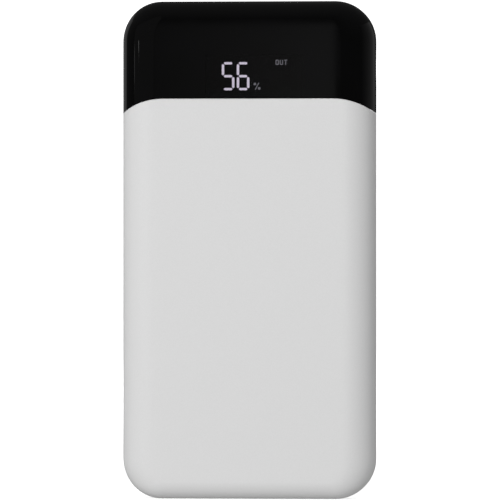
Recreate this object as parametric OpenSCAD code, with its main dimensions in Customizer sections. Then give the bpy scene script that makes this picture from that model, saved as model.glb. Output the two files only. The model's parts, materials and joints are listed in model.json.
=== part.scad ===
// Power bank with a two-figure charge display: a glossy hood over a pale two-piece
// case, with a sprung power button on its right side and three sockets in its top end.
//
// X is the width, Y the thickness and Z the height. The display looks towards -Y.
// The origin is the centre of the foot that the power bank stands on.

/* [Case] */
// Width across the round sides
body_w = 72; // [71:0.5:76]
// Thickness from the front face to the back face
body_t = 19; // [19:0.1:20]
// Height from the foot to the socket end
body_h = 141; // [140:0.5:150]
// Radius of the four outline corners
corner_r = 11.4; // [10:0.1:12]
// Rounding where the front and back faces meet the two ends
end_r = 5.2; // [4.6:0.1:5.4]
// Wall thickness of the case and the hood
wall = 1.6; // [1.5:0.05:1.6]

/* [Hood] */
// Height of the glossy hood, measured in the middle of the front face
hood_h = 27.7; // [27:0.1:29]
// Radius of the two arcs that end the hood's lower edge
shoulder_r = 19.7; // [18:0.1:22]
// Distance between the two arcs, where the lower edge is straight
shoulder_flat = 48; // [46:0.5:50]

/* [Display] */
// Lit figures
figures = "56"; // [00, 18, 24, 56, 73, 99]
// Height of a figure
figure_h = 8.1; // [7:0.1:9]
// Width of a figure
figure_w = 3.7; // [3:0.1:3.9]
// Width of one light bar
bar_w = 0.8; // [0.6:0.05:0.9]
// Distance between the two figures
figure_pitch = 4.25; // [4.1:0.05:5]

/* [Power button] */
// Length of the button along the side of the hood
button_l = 11; // [8:0.5:12]
// Width of the button across the thickness
button_w = 3.6; // [3:0.1:4]
// Travel from rest to the end stop
button_travel = 0.35; // [0.2:0.05:0.4]

/* [Sockets] */
// Distance from the middle socket to each wide socket
socket_pitch = 14.6; // [14:0.1:15]
// Depth of the wide sockets
wide_socket_l = 14; // [12:0.5:14]

/* [Battery] */
// Width of a pouch cell
cell_w = 60; // [54:0.5:60]
// Thickness of a pouch cell
cell_t = 6.7; // [5.5:0.1:6.7]
// Length of a pouch cell
cell_l = 96; // [80:1:96]

/* [Hidden] */
$fn = 48;
far = 200;                 // longer than any piece, for cutting blocks
seam = 0.08;               // visible joint between two fixed case pieces
fit = 0.05;                // clearance of a close fit
button_gap = 0.12;         // clearance round the button in the hood

// Hood edge and the neck of the case that the hood slides over
split_z = body_h - hood_h;
neck_gap = 0.1;
neck_t = 1;
neck_h = 4;
band_h = 3;                // height of the thicker band under the split
band_lap = 0.5;            // how far the neck reaches down into the band
skin_lap = 0.3;            // how far the band reaches into the wall
neck_in = wall + neck_gap + neck_t;

// Lip that locates the back shell on the front shell
lip_t = 0.75;
lip_h = 1;
lip_play = 0.1;
lip_root = 0.5;            // how far the lip reaches down inside its own shell
lip_drop = 2;              // distance from the band to the lip's upper end

// Layers from the front face inwards
half_t = body_t / 2;
cavity_y = half_t - wall;
board_t = 1.2;
board_y = -3 - board_t;    // front face of the main board
board_back = board_y + board_t;
mask_t = 0.14;
gasket_t = 0.3;
mask_y = -cavity_y + 0.04;
gasket_y = mask_y + mask_t + 0.02;
display_y = gasket_y + gasket_t;

// Display layout, measured from the body's centre line and the foot
figure_z = split_z + 6.35;
first_figure_x = -5.6;
percent_pos = [2.6, figure_z - 2.85];
out_pos = [9.5, figure_z + 3.9];
display_w = 25;
display_h = 10.4;
display_x = 2;
bar_depth = 0.6;
bar_gap = 0.08;            // plastic left between two neighbouring light bars

// Sockets and bezel
mouth_z = body_h - 0.8;
bezel_w = 48.4;
bezel_t = 7.8;
bezel_flange = 1.1;        // thickness of the flange behind the hood
bezel_lip = 0.4;           // how far the flange reaches past the opening
wide_w = 13.3;
wide_t = 5.9;
slim_w = 8.9;
slim_t = 3.2;
slim_l = 7.5;
slim_y = board_back + 0.05 + slim_t / 2;
socket_wall = 0.35;
tongue_back = 1.6;         // how far a wide tongue's tip lies behind its mouth

// Main board
board_w = 60;
board_z0 = split_z - 2.5;
board_z1 = body_h - 3.4;
board_corner = 4;
screw_x = 26;
screw_z = [board_z0 + 3, board_z1 - 5.6];
screw_r = 0.8;

// Power button and its switch
button_z = split_z + 9;
button_x0 = body_w / 2 - 2.7;
button_flange_t = 0.8;
button_flange = 1.1;
switch_x = board_w / 2 - 3.6;
switch_l = 6;
switch_t = 3.6;
switch_d = 3.4;
plunger_y = board_back + 0.05 + switch_t / 2;
plunger_r = 0.8;
plunger_head_r = 1.15;
plunger_tip = board_w / 2 + 1.1;
cover_t = 0.2;
dome_rise = button_travel + 0.4;   // the dome still stands this 0.4 high when pressed
switch_bore_depth = dome_rise + 0.75;

// Chassis
rail_t = 3;                // half thickness of the rails beside the cells
rail_out = body_w / 2 - wall - 1.1;
rail_r = corner_r - wall - 0.7;
deck_y = 5;
deck_t = 1.2;
deck_w = 56;
rail_top = body_w / 2 - neck_in - 1.1; // rails are cut back to this inside the band
deck_top = board_z1 - 1.6;
crosswall_z = split_z - 5.5;
crosswall_t = 1.4;

// Cells
cell_z0 = 7;
cell_z1 = cell_z0 + cell_l;
cell_gap = 0.15;           // half the adhesive between the two cells
terrace_h = 1.6;
tab_t = 0.15;
protect_z = cell_z1 + 2.6;
protect_w = 46;
protect_d = 5;
protect_t = 0.8;
foam_t = cavity_y - cell_gap - cell_t - 0.05;
foam_z = [18, 84];
tape_z = [90, 101];

// ---- Shared shapes ----

// Slot outline: a straight bar with round ends, of overall length l and width w
module slot_2d(l, w) {
    square([l - w, w], center = true);
    for (end = [-1, 1]) translate([end * (l - w) / 2, 0]) circle(d = w);
}

// Rectangle with round corners, centred
module round_rect_2d(w, h, r) {
    square([w, h - 2 * r], center = true);
    square([w - 2 * r, h], center = true);
    for (sx = [-1, 1], sz = [-1, 1])
        translate([sx * (w / 2 - r), sz * (h / 2 - r)]) circle(r = r);
}

// Plate standing in the XZ plane, from y0 to y0 + t, drawn by a 2D child
module upright(y0, t) {
    translate([0, y0 + t, 0]) rotate([90, 0, 0]) linear_extrude(t) children();
}

// Box from its low corner to its high corner
module block(low, high) {
    translate(low) cube(high - low);
}

// Case form, set in from the outer surface by d. The corner cutters stand a little
// proud of the flat sides, so that every pair of surfaces crosses at an angle.
module body_form(d) {
    proud = 0.15;
    widen = proud / (1 - sqrt(0.5)); // keeps the middle of each corner in place
    w = body_w - 2 * d;
    t = body_t - 2 * d;
    h = body_h - 2 * d;
    translate([0, 0, body_h / 2]) intersection() {
        linear_extrude(h + 2, center = true) slot_2d(w, t);
        upright(-t, 2 * t) round_rect_2d(w + 2 * proud, h + 2 * proud, corner_r - d + widen);
        rotate([90, 0, 90]) linear_extrude(w + 2, center = true)
            round_rect_2d(t + 2 * proud, h, end_r - d + widen);
    }
}

module skin(outer, inner) {
    difference() {
        body_form(outer);
        body_form(inner);
    }
}

// Everything below the hood's lower edge, raised by dz
module below_split(dz) {
    arc_x = shoulder_flat / 2;
    upright(-body_t, 2 * body_t) translate([0, split_z + dz]) {
        translate([-arc_x, -far]) square([2 * arc_x, far]);
        translate([-arc_x - shoulder_r, -far])
            square([2 * (arc_x + shoulder_r), far - shoulder_r]);
        for (side = [-1, 1]) translate([side * arc_x, -shoulder_r]) circle(r = shoulder_r);
    }
}

// ---- Case ----

module top_hood() {
    color("#0c0c0e") difference() {
        skin(0, wall);
        below_split(0);
        translate([0, 0, body_h - 2 * wall]) linear_extrude(far)
            slot_2d(bezel_w, bezel_t);
        translate([body_w / 2 - 2 * wall, 0, button_z]) rotate([0, 90, 0])
            linear_extrude(far)
            slot_2d(button_l + 2 * button_gap, button_w + 2 * button_gap);
    }
}

// Half of the case with its thick band under the hood's edge and its neck inside the hood
module case_half(side) {
    intersection() {
        union() {
            intersection() {
                skin(0, wall);
                below_split(-seam);
            }
            difference() {
                intersection() {
                    skin(wall - skin_lap, neck_in);
                    below_split(-seam);
                }
                below_split(-band_h);
            }
            difference() {
                intersection() {
                    skin(wall + neck_gap, neck_in);
                    below_split(neck_h);
                }
                below_split(-band_h + band_lap);
            }
        }
        block([-far, side > 0 ? seam / 2 : -far, -1], [far, side > 0 ? far : -seam / 2, far]);
    }
}

module front_shell() {
    notch_w = display_w + 4;   // opening in the neck for the display
    notch_z = figure_z - display_h / 2 - 0.95;
    color("#d6d6d6") {
        difference() {
            case_half(-1);
            block([display_x - notch_w / 2, -half_t, notch_z],
                  [display_x + notch_w / 2, 0, split_z + 2 * neck_h]);
        }
        intersection() {
            skin(wall - lip_t + lip_play / 2, wall);
            block([-far, -lip_root, 0], [far, lip_h, far]);
            below_split(-band_h - lip_drop);
        }
    }
}

module back_shell() {
    color("#d6d6d6") difference() {
        case_half(1);
        intersection() {
            body_form(wall - lip_t - lip_play / 2);
            block([-far, -1, 0], [far, lip_h + lip_play, far]);
            below_split(-band_h - lip_drop + 2 * lip_play);
        }
    }
}

// Socket mouths as they pass through the bezel
module socket_mouths(play) {
    for (side = [-1, 1]) translate([side * socket_pitch, 0])
        round_rect_2d(wide_w + 2 * play, wide_t + 2 * play, 0.6);
    translate([0, slim_y]) slot_2d(slim_w + 2 * play, slim_t + 2 * play);
}

module port_bezel() {
    flange_z = body_h - wall - 0.1;
    color("#1b1b1d") difference() {
        union() {
            translate([0, 0, flange_z - 0.5]) linear_extrude(body_h - flange_z + 0.45)
                slot_2d(bezel_w - 2 * seam, bezel_t - 2 * seam);
            translate([0, 0, flange_z - bezel_flange]) linear_extrude(bezel_flange)
                slot_2d(bezel_w + 2 * bezel_lip, bezel_t + 2 * bezel_lip);
        }
        translate([0, 0, flange_z - 2 * bezel_flange]) linear_extrude(far)
            socket_mouths(0.12);
    }
}

module power_button() {
    post = [1, 1.5];
    color("#0c0c0e") {
        intersection() {
            body_form(0.02);
            translate([button_x0, 0, button_z]) rotate([0, 90, 0]) linear_extrude(far)
                slot_2d(button_l, button_w);
        }
        translate([button_x0 - button_flange_t, 0, button_z]) rotate([0, 90, 0])
            linear_extrude(button_flange_t)
            slot_2d(button_l + 2 * button_flange, button_w + 2 * button_flange);
        // post that pushes the switch's plunger
        block([plunger_tip + fit, plunger_y - post[0], button_z - post[1]],
              [button_x0 - button_flange_t, plunger_y + post[0], button_z + post[1]]);
    }
}

// ---- Chassis and main board ----

module chassis() {
    bay_w = cell_w + 0.8;
    wire_slot = 9;
    ring_h = crosswall_z + crosswall_t - 2.4;
    color("#3a3b3f") difference() {
        union() {
            // rails that surround the cells
            intersection() {
                upright(-rail_t, 2 * rail_t) translate([0, body_h / 2])
                    round_rect_2d(2 * rail_out, body_h - 4.8, rail_r);
                block([-far, -far, 0], [far, far, 2.4 + ring_h]);
            }
            // deck behind the main board, joined to the rails by the cross-wall
            upright(deck_y, deck_t) translate([0, (crosswall_z + deck_top) / 2])
                round_rect_2d(deck_w, deck_top - crosswall_z, 3);
            block([-deck_w / 2, 0, crosswall_z],
                  [deck_w / 2, deck_y + deck_t / 2, crosswall_z + crosswall_t]);
            // posts that carry the board
            for (sx = [-1, 1], z = screw_z)
                translate([sx * screw_x, deck_y + deck_t / 2, z]) rotate([90, 0, 0])
                    cylinder(r = 1.9, h = deck_y + deck_t / 2 - board_back);
        }
        block([-bay_w / 2, -far, cell_z0 - 0.4], [bay_w / 2, far, crosswall_z]);
        for (side = [0, 1]) mirror([side, 0, 0])
            block([rail_top, -far, crosswall_z - 3], [far, far, far]);
        // slot for the two battery leads
        block([-wire_slot / 2, -far, crosswall_z - 1],
              [wire_slot / 2, 2.4, crosswall_z + 2 * crosswall_t]);
        for (sx = [-1, 1], z = screw_z)
            translate([sx * screw_x, board_back - 1, z]) rotate([-90, 0, 0])
                cylinder(r = screw_r + 0.02, h = 6.5);
    }
}

module main_board() {
    color("#1d5b34") upright(board_y, board_t) difference() {
        translate([0, (board_z0 + board_z1) / 2])
            round_rect_2d(board_w, board_z1 - board_z0, board_corner);
        for (sx = [-1, 1], z = screw_z) translate([sx * screw_x, z]) circle(r = screw_r + 0.2);
    }
}

module board_screws() {
    color("#b9bbbf") for (sx = [-1, 1], z = screw_z)
        translate([sx * screw_x, board_y, z]) rotate([-90, 0, 0]) difference() {
            union() {
                translate([0, 0, -0.9]) cylinder(r = 1.5, h = 0.9);
                translate([0, 0, -0.45]) cylinder(r = screw_r, h = 6.4);
            }
            for (turn = [0, 90]) rotate(turn)
                translate([-0.9, -0.15, -1]) cube([1.8, 0.3, 0.55]);
        }
}

// ---- Display ----

// One seven-bar figure. Each entry names a bar and gives its place in half heights
// and half widths, and whether it stands upright.
BARS = [
    ["a", 0, 1, false], ["b", 1, 0.5, true], ["c", 1, -0.5, true], ["d", 0, -1, false],
    ["e", -1, -0.5, true], ["f", -1, 0.5, true], ["g", 0, 0, false]
];
LIT = [
    ["0", "abcdef"], ["1", "bc"], ["2", "abdeg"], ["3", "abcdg"], ["4", "bcfg"],
    ["5", "acdfg"], ["6", "acdefg"], ["7", "abc"], ["8", "abcdefg"], ["9", "abcdfg"]
];

function bars_of(digit) = LIT[search(digit, LIT)[0]][1];
function is_lit(digit, bar) = len(search(bar, bars_of(digit))) > 0;

// Light bars of both figures, either the lit ones or the dark ones
module bars_2d(lit, play) {
    half_w = (figure_w - bar_w) / 2;
    half_h = (figure_h - bar_w) / 2;
    // each bar stops this far from the corner it points at, clear of its neighbour
    pull = (bar_w + bar_gap) * sqrt(0.5) - bar_w / 2;
    for (place = [0, 1], bar = BARS) if (is_lit(figures[place], bar[0]) == lit)
        translate([first_figure_x + place * figure_pitch + bar[1] * half_w,
                   figure_z + bar[2] * half_h])
            rotate(bar[3] ? 90 : 0)
            slot_2d((bar[3] ? half_h : 2 * half_w) - 2 * pull + 2 * play, bar_w + 2 * play);
}

// Percent sign and the word OUT, as strokes
module icons_2d(play) {
    stroke = 0.26;
    letter = [0.95, 1.5];
    translate(percent_pos) {
        rotate(62) slot_2d(2.3, stroke + 2 * play);
        for (side = [-1, 1]) translate([side * 0.62, -side * 0.62]) circle(r = 0.4 + play);
    }
    translate(out_pos) {
        translate([-1.2, 0]) slot_frame_2d(letter, stroke, play, true);
        slot_frame_2d(letter, stroke, play, false);
        translate([1.2, letter[1] / 2 - stroke / 2])
            square([letter[0] + 2 * play, stroke + 2 * play], center = true);
        translate([1.2, 0]) square([stroke + 2 * play, letter[1] + 2 * play], center = true);
    }
}

// Letter O when closed, letter U when open at the top
module slot_frame_2d(size, stroke, play, closed) {
    difference() {
        round_rect_2d(size[0] + 2 * play, size[1] + 2 * play, 0.3);
        square([size[0] - 2 * stroke - 2 * play, size[1] - 2 * stroke - 2 * play],
               center = true);
        if (!closed) translate([0, size[1] / 2])
            square([size[0] - 2 * stroke - 2 * play, size[1]], center = true);
    }
}

module display_housing() {
    color("#101012") difference() {
        upright(display_y, board_y - display_y) translate([display_x, figure_z])
            round_rect_2d(display_w, display_h, 0.8);
        upright(display_y - 1, 1 + bar_depth) {
            bars_2d(true, 0.02);
            bars_2d(false, 0.02);
            icons_2d(0.02);
        }
    }
}

module lit_bars() {
    color("#e6dcff") upright(display_y, bar_depth - 0.02) bars_2d(true, 0);
}

module dark_bars() {
    color("#2a2a2e") upright(display_y, bar_depth - 0.02) bars_2d(false, 0);
}

module display_icons() {
    color("#8f8c95") upright(display_y, bar_depth - 0.02) icons_2d(0);
}

module display_gasket() {
    color("#26262a") upright(gasket_y, gasket_t - 0.02) translate([display_x, figure_z])
        difference() {
            round_rect_2d(display_w, display_h, 0.8);
            round_rect_2d(display_w - 1.6, display_h - 1.2, 0.5);
        }
}

module display_mask() {
    window = 0.4;
    color("#08080a") upright(mask_y, mask_t) difference() {
        translate([display_x, figure_z]) round_rect_2d(display_w + 2, display_h + 1, 1);
        translate([first_figure_x + figure_pitch / 2, figure_z])
            square([figure_w + figure_pitch + window, figure_h + window], center = true);
        translate(percent_pos) square([2.1 + window, 2.1 + window], center = true);
        translate(out_pos) square([3.4 + window, 1.5 + window], center = true);
    }
}

// ---- Sockets ----

// Folded sheet-metal shell, open at its mouth
module wide_socket_shell(side) {
    color("#c9ccd1") translate([side * socket_pitch, 0, mouth_z - wide_socket_l])
        difference() {
            linear_extrude(wide_socket_l) round_rect_2d(wide_w, wide_t, 0.6);
            translate([0, 0, socket_wall]) linear_extrude(wide_socket_l)
                round_rect_2d(wide_w - 2 * socket_wall, wide_t - 2 * socket_wall, 0.3);
            // spring windows in the two broad faces
            for (sx = [-1, 1]) translate([sx * 3.1, 0, wide_socket_l - 5.2])
                cube([1.6, 2 * wide_t, 5.2], center = true);
        }
}

module wide_socket_tongue(side) {
    inner_w = wide_w - 2 * socket_wall - 0.1;
    inner_t = wide_t - 2 * socket_wall - 0.1;
    z0 = mouth_z - wide_socket_l + socket_wall + 0.02;
    color("#f2f2ee") translate([side * socket_pitch, 0, 0]) {
        translate([0, 0, z0]) linear_extrude(2.4) round_rect_2d(inner_w, inner_t, 0.3);
        block([-5.55, -1.95, z0 + 2], [5.55, -0.15, mouth_z - tongue_back]);
    }
}

module wide_socket_contacts(side) {
    color("#d9a53b") for (x = [-3.5, -1, 1, 3.5])
        translate([side * socket_pitch + x, 0, 0])
            block([-0.5, -0.15, mouth_z - wide_socket_l + 3.2],
                  [0.5, 0.05, mouth_z - tongue_back - 1]);
}

module usb_c_shell() {
    color("#c9ccd1") translate([0, slim_y, mouth_z - slim_l]) difference() {
        linear_extrude(slim_l) slot_2d(slim_w, slim_t);
        translate([0, 0, 0.3]) linear_extrude(slim_l)
            slot_2d(slim_w - 2 * 0.3, slim_t - 2 * 0.3);
    }
}

module usb_c_tongue() {
    z0 = mouth_z - slim_l + 0.32;
    color("#1b1b1d") translate([0, slim_y, z0]) {
        linear_extrude(1.2) slot_2d(slim_w - 0.7, slim_t - 0.7);
        translate([-3.3, -0.35, 1]) cube([6.6, 0.7, slim_l - 0.32 - 1 - 0.8]);
    }
}

module usb_c_contacts() {
    count = 12;
    pitch = 0.5;
    z0 = mouth_z - slim_l + 1.6;
    color("#d9a53b") for (face = [-1, 1], i = [0 : count - 1])
        translate([(i - (count - 1) / 2) * pitch, slim_y + face * 0.385, z0 + 2])
            cube([0.24, 0.06, 3.8], center = true);
}

// ---- Power switch ----

module switch_body() {
    color("#17171a") difference() {
        block([switch_x, board_back + 0.05, button_z - switch_l / 2],
              [switch_x + switch_d, board_back + 0.05 + switch_t, button_z + switch_l / 2]);
        translate([switch_x + switch_d - switch_bore_depth, plunger_y, button_z])
            rotate([0, 90, 0]) cylinder(r = plunger_head_r + 0.1, h = far);
    }
}

module switch_cover() {
    x0 = switch_x + switch_d + 0.01;
    color("#c9ccd1") difference() {
        block([x0, board_back + 0.2, button_z - switch_l / 2 + 0.1],
              [x0 + cover_t, board_back + switch_t - 0.1, button_z + switch_l / 2 - 0.1]);
        translate([x0 - 1, plunger_y, button_z]) rotate([0, 90, 0])
            cylinder(r = plunger_r + 0.08, h = 2);
    }
}

module switch_plunger() {
    head_l = 0.6;
    head_x = switch_x + switch_d - head_l - 0.1;
    color("#efefe9") translate([0, plunger_y, button_z]) {
        translate([head_x, 0, 0]) rotate([0, 90, 0]) cylinder(r = plunger_head_r, h = head_l);
        translate([head_x + 0.1, 0, 0]) rotate([0, 90, 0])
            cylinder(r = plunger_r, h = plunger_tip - head_x - 0.1);
    }
}

// Domed metal disc that snaps under the plunger
module switch_dome() {
    dome_r = 1.1;
    thick = 0.12;
    sphere_r = (dome_r * dome_r + dome_rise * dome_rise) / (2 * dome_rise);
    base_x = switch_x + switch_d - switch_bore_depth + 0.02;
    color("#cfd2d6") translate([base_x, plunger_y, button_z]) intersection() {
        translate([dome_rise - sphere_r, 0, 0]) difference() {
            sphere(r = sphere_r);
            sphere(r = sphere_r - thick);
        }
        rotate([0, 90, 0]) cylinder(r = dome_r, h = 2 * dome_rise);
    }
}

// ---- Parts on the main board ----

// Rectangular part standing on the back of the main board
module on_board(x, z, size) {
    block([x - size[0] / 2, board_back + 0.02, z - size[1] / 2],
          [x + size[0] / 2, board_back + 0.02 + size[2], z + size[1] / 2]);
}

module charge_chip() {
    color("#202024") on_board(3.2, board_z0 + 9.6, [7.6, 7.6, 1]);
}

module control_chip() {
    color("#202024") on_board(12.6, board_z0 + 10.8, [4.9, 3.9, 1.4]);
}

module power_transistors() {
    color("#202024") for (i = [0, 1])
        on_board(-19, board_z0 + 5.4 + i * 5.4, [5, 4.4, 1.1]);
}

module boost_inductor() {
    side = 9;
    color("#4a4a4e") on_board(-9.5, board_z0 + 8.7, [side, side, 4.8]);
}

module polymer_capacitors() {
    color("#c5c8cc") for (i = [0, 1])
        translate([20.2, board_back + 0.02, board_z0 + 5.2 + i * 5.6])
            rotate([-90, 0, 0]) cylinder(r = 2.5, h = 6.2);
}

module ceramic_capacitors() {
    color("#b08d5e") {
        for (i = [0 : 4]) on_board(6.2 + i * 2.4, board_z0 + 2.4, [1.6, 3.2, 1.3]);
        for (i = [0 : 3]) on_board(-24.6, board_z0 + 7.8 + i * 2.2, [2, 1.3, 1]);
    }
}

module small_resistors() {
    color("#1c1c1f") {
        for (i = [0 : 4]) on_board(8.6, board_z0 + 7.2 + i * 1.5, [1.6, 0.8, 0.5]);
        for (i = [0 : 3]) on_board(16.3, board_z0 + 8.2 + i * 1.6, [1.6, 0.8, 0.5]);
    }
}

// ---- Battery ----

// Pouch cell: a soft-edged block with the sealed ledge that its tabs leave through
module pouch_cell(side) {
    mid_y = side * (cell_gap + cell_t / 2);
    color("#a9adb2") translate([0, mid_y, 0]) {
        translate([0, 0, cell_z0]) linear_extrude(cell_l) round_rect_2d(cell_w, cell_t, 1.6);
        block([-cell_w / 2 + 3, -0.3, cell_z1 - 0.5], [cell_w / 2 - 3, 0.3, cell_z1 + terrace_h]);
    }
}

module cell_adhesive() {
    color("#e8e6dc") block([-cell_w / 2 + 6, -cell_gap + 0.02, cell_z0 + 8],
                           [cell_w / 2 - 6, cell_gap - 0.02, cell_z1 - 8]);
}

// Four tabs that rise from the ledges and fold over the protection board
module cell_tabs() {
    tab_w = 5;
    top = protect_z + protect_t;
    color("#c8ccd0") for (side = [-1, 1], x = [-17, 17]) {
        y = side * (cell_gap + cell_t / 2);
        y_in = side * (protect_d / 2 - 1.4);
        block([x - tab_w / 2, y - tab_t / 2, cell_z1 + terrace_h + 0.01],
              [x + tab_w / 2, y + tab_t / 2, top + 0.01 + tab_t]);
        block([x - tab_w / 2, min(y, y_in), top + 0.01],
              [x + tab_w / 2, max(y, y_in), top + 0.01 + tab_t]);
    }
}

module protection_board() {
    color("#1d5b34") block([-protect_w / 2, -protect_d / 2, protect_z],
                           [protect_w / 2, protect_d / 2, protect_z + protect_t]);
}

module protection_chips() {
    z0 = protect_z + protect_t + 0.01;
    color("#202024") for (x = [-9.5, -5.4, 6.6])
        block([x - 1.5, -1.5, z0], [x + 1.5, 1.5, z0 + 0.9]);
}

// Bead that reads the cells' temperature, on a pair of legs
module temperature_sensor() {
    bead_z = cell_z1 + 0.9;
    color("#8a3b1f") {
        translate([-24.6, 0, bead_z]) rotate([0, 90, 0]) cylinder(r = 0.8, h = 3.2);
        for (x = [-22.5, -21.9]) translate([x, 0, bead_z])
            cylinder(r = 0.2, h = protect_z - bead_z - 0.02);
    }
}

module insulation_tape() {
    color("#c98a1e") for (side = [-1, 1]) {
        y = side * (cell_gap + cell_t + 0.02);
        block([-27, min(y, y + side * 0.1), tape_z[0]], [27, max(y, y + side * 0.1), tape_z[1]]);
    }
}

module foam_pad(side) {
    y = side * (cell_gap + cell_t + 0.02);
    color("#3b3d42") block([-24, min(y, y + side * foam_t), foam_z[0]],
                           [24, max(y, y + side * foam_t), foam_z[1]]);
}

// Insulated lead from the protection board, up through the chassis and onto the main board
module battery_lead(x) {
    lead_r = 0.75;
    bend_r = 1.4;
    z0 = protect_z + protect_t + 0.02;
    z1 = board_z0 + 1.6;
    translate([x, 0, z0]) cylinder(r = lead_r, h = z1 - z0);
    translate([x, -bend_r, z1]) rotate([90, 0, 90])
        rotate_extrude(angle = 90) translate([bend_r, 0]) circle(r = lead_r);
    translate([x, -bend_r, z1 + bend_r]) rotate([90, 0, 0])
        cylinder(r = lead_r, h = -board_back - bend_r - 0.3);
}

module lead_solder() {
    z = board_z0 + 3;
    color("#d5d7da") for (x = [-2.2, 2.2])
        translate([x, board_back + 0.02, z]) rotate([-90, 0, 0])
            cylinder(r = 1.1, h = 0.26);
}

top_hood();
front_shell();
back_shell();
port_bezel();
power_button();
chassis();
main_board();
board_screws();
display_housing();
lit_bars();
dark_bars();
display_icons();
display_gasket();
display_mask();
wide_socket_shell(-1);  // usb_a_shell_left
wide_socket_shell(1);  // usb_a_shell_right
wide_socket_tongue(-1);  // usb_a_tongue_left
wide_socket_tongue(1);  // usb_a_tongue_right
wide_socket_contacts(-1);  // usb_a_contacts_left
wide_socket_contacts(1);  // usb_a_contacts_right
usb_c_shell();
usb_c_tongue();
usb_c_contacts();
switch_body();
switch_cover();
switch_plunger();
switch_dome();
charge_chip();
control_chip();
power_transistors();
boost_inductor();
polymer_capacitors();
ceramic_capacitors();
small_resistors();
pouch_cell(-1);  // front_cell
pouch_cell(1);  // back_cell
cell_adhesive();
cell_tabs();
protection_board();
protection_chips();
temperature_sensor();
insulation_tape();
foam_pad(-1);  // front_foam
foam_pad(1);  // back_foam
color("#c3271f") battery_lead(2.2);  // positive_lead
color("#17171a") battery_lead(-2.2);  // negative_lead
lead_solder();
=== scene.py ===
"""Looks of a power bank with a two-figure charge display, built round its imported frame.

X is the width, Y the thickness and Z the height, in metres. The display looks towards -Y and
the origin is the centre of the foot. Each sub-assembly is a class that holds its own sizes.
"""

import itertools
import json
import logging
import math
from contextlib import contextmanager
from dataclasses import dataclass
from enum import Enum
from typing import Any, Callable, Iterator, Sequence

import bmesh
import bpy
from mathutils import Matrix, Vector

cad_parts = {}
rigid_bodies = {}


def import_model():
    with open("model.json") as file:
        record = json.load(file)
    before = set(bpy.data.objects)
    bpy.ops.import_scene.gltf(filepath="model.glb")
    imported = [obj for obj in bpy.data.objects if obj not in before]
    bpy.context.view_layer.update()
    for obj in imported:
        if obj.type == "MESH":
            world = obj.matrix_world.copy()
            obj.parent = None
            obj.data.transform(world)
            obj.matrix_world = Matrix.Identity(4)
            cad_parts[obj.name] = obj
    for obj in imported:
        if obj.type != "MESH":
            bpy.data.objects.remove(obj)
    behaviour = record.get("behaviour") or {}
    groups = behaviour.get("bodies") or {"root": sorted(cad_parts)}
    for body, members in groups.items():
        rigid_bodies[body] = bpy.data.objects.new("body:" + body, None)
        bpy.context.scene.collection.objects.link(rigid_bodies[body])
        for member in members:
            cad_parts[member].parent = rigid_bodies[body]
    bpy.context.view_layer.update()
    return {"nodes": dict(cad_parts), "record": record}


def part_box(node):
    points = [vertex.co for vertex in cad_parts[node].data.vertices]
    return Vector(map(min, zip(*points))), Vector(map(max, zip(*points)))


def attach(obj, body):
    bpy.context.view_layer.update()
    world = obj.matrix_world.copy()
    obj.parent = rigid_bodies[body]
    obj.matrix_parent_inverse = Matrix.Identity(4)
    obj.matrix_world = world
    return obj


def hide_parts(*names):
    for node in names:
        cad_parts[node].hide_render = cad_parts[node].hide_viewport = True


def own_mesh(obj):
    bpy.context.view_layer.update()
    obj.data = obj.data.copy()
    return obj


LOG = logging.getLogger("power_bank")
MM = 0.001

TINY = 1e-7  # metres, less than any real distance here
SHY = 0.9999  # share of a full rounding that keeps its two halves apart

Pair = tuple[float, float]
Triple = tuple[float, float, float]
Box = tuple[float, float, float, float, float]


class Body(Enum):
    """Bodies of the power bank that modelled pieces ride on."""

    CASE = "case"
    BUTTON = "button"


class Axis(Enum):
    """Main directions, by their index in a vector."""

    X = 0
    Y = 1
    Z = 2


class Element(Enum):
    """Kinds of mesh element that edit mode selects."""

    VERT = "verts"
    EDGE = "edges"
    FACE = "faces"


# ---- Modelling kit ----


def deselect_all() -> None:
    """Leaves no object selected."""
    for obj in bpy.context.view_layer.objects:
        obj.select_set(False)


def make_active(obj: bpy.types.Object) -> None:
    """Selects only this object and makes it the active one.

    Args:
        obj: The object that the next operators work on.
    """
    deselect_all()
    obj.hide_set(False)
    obj.select_set(True)
    bpy.context.view_layer.objects.active = obj


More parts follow.
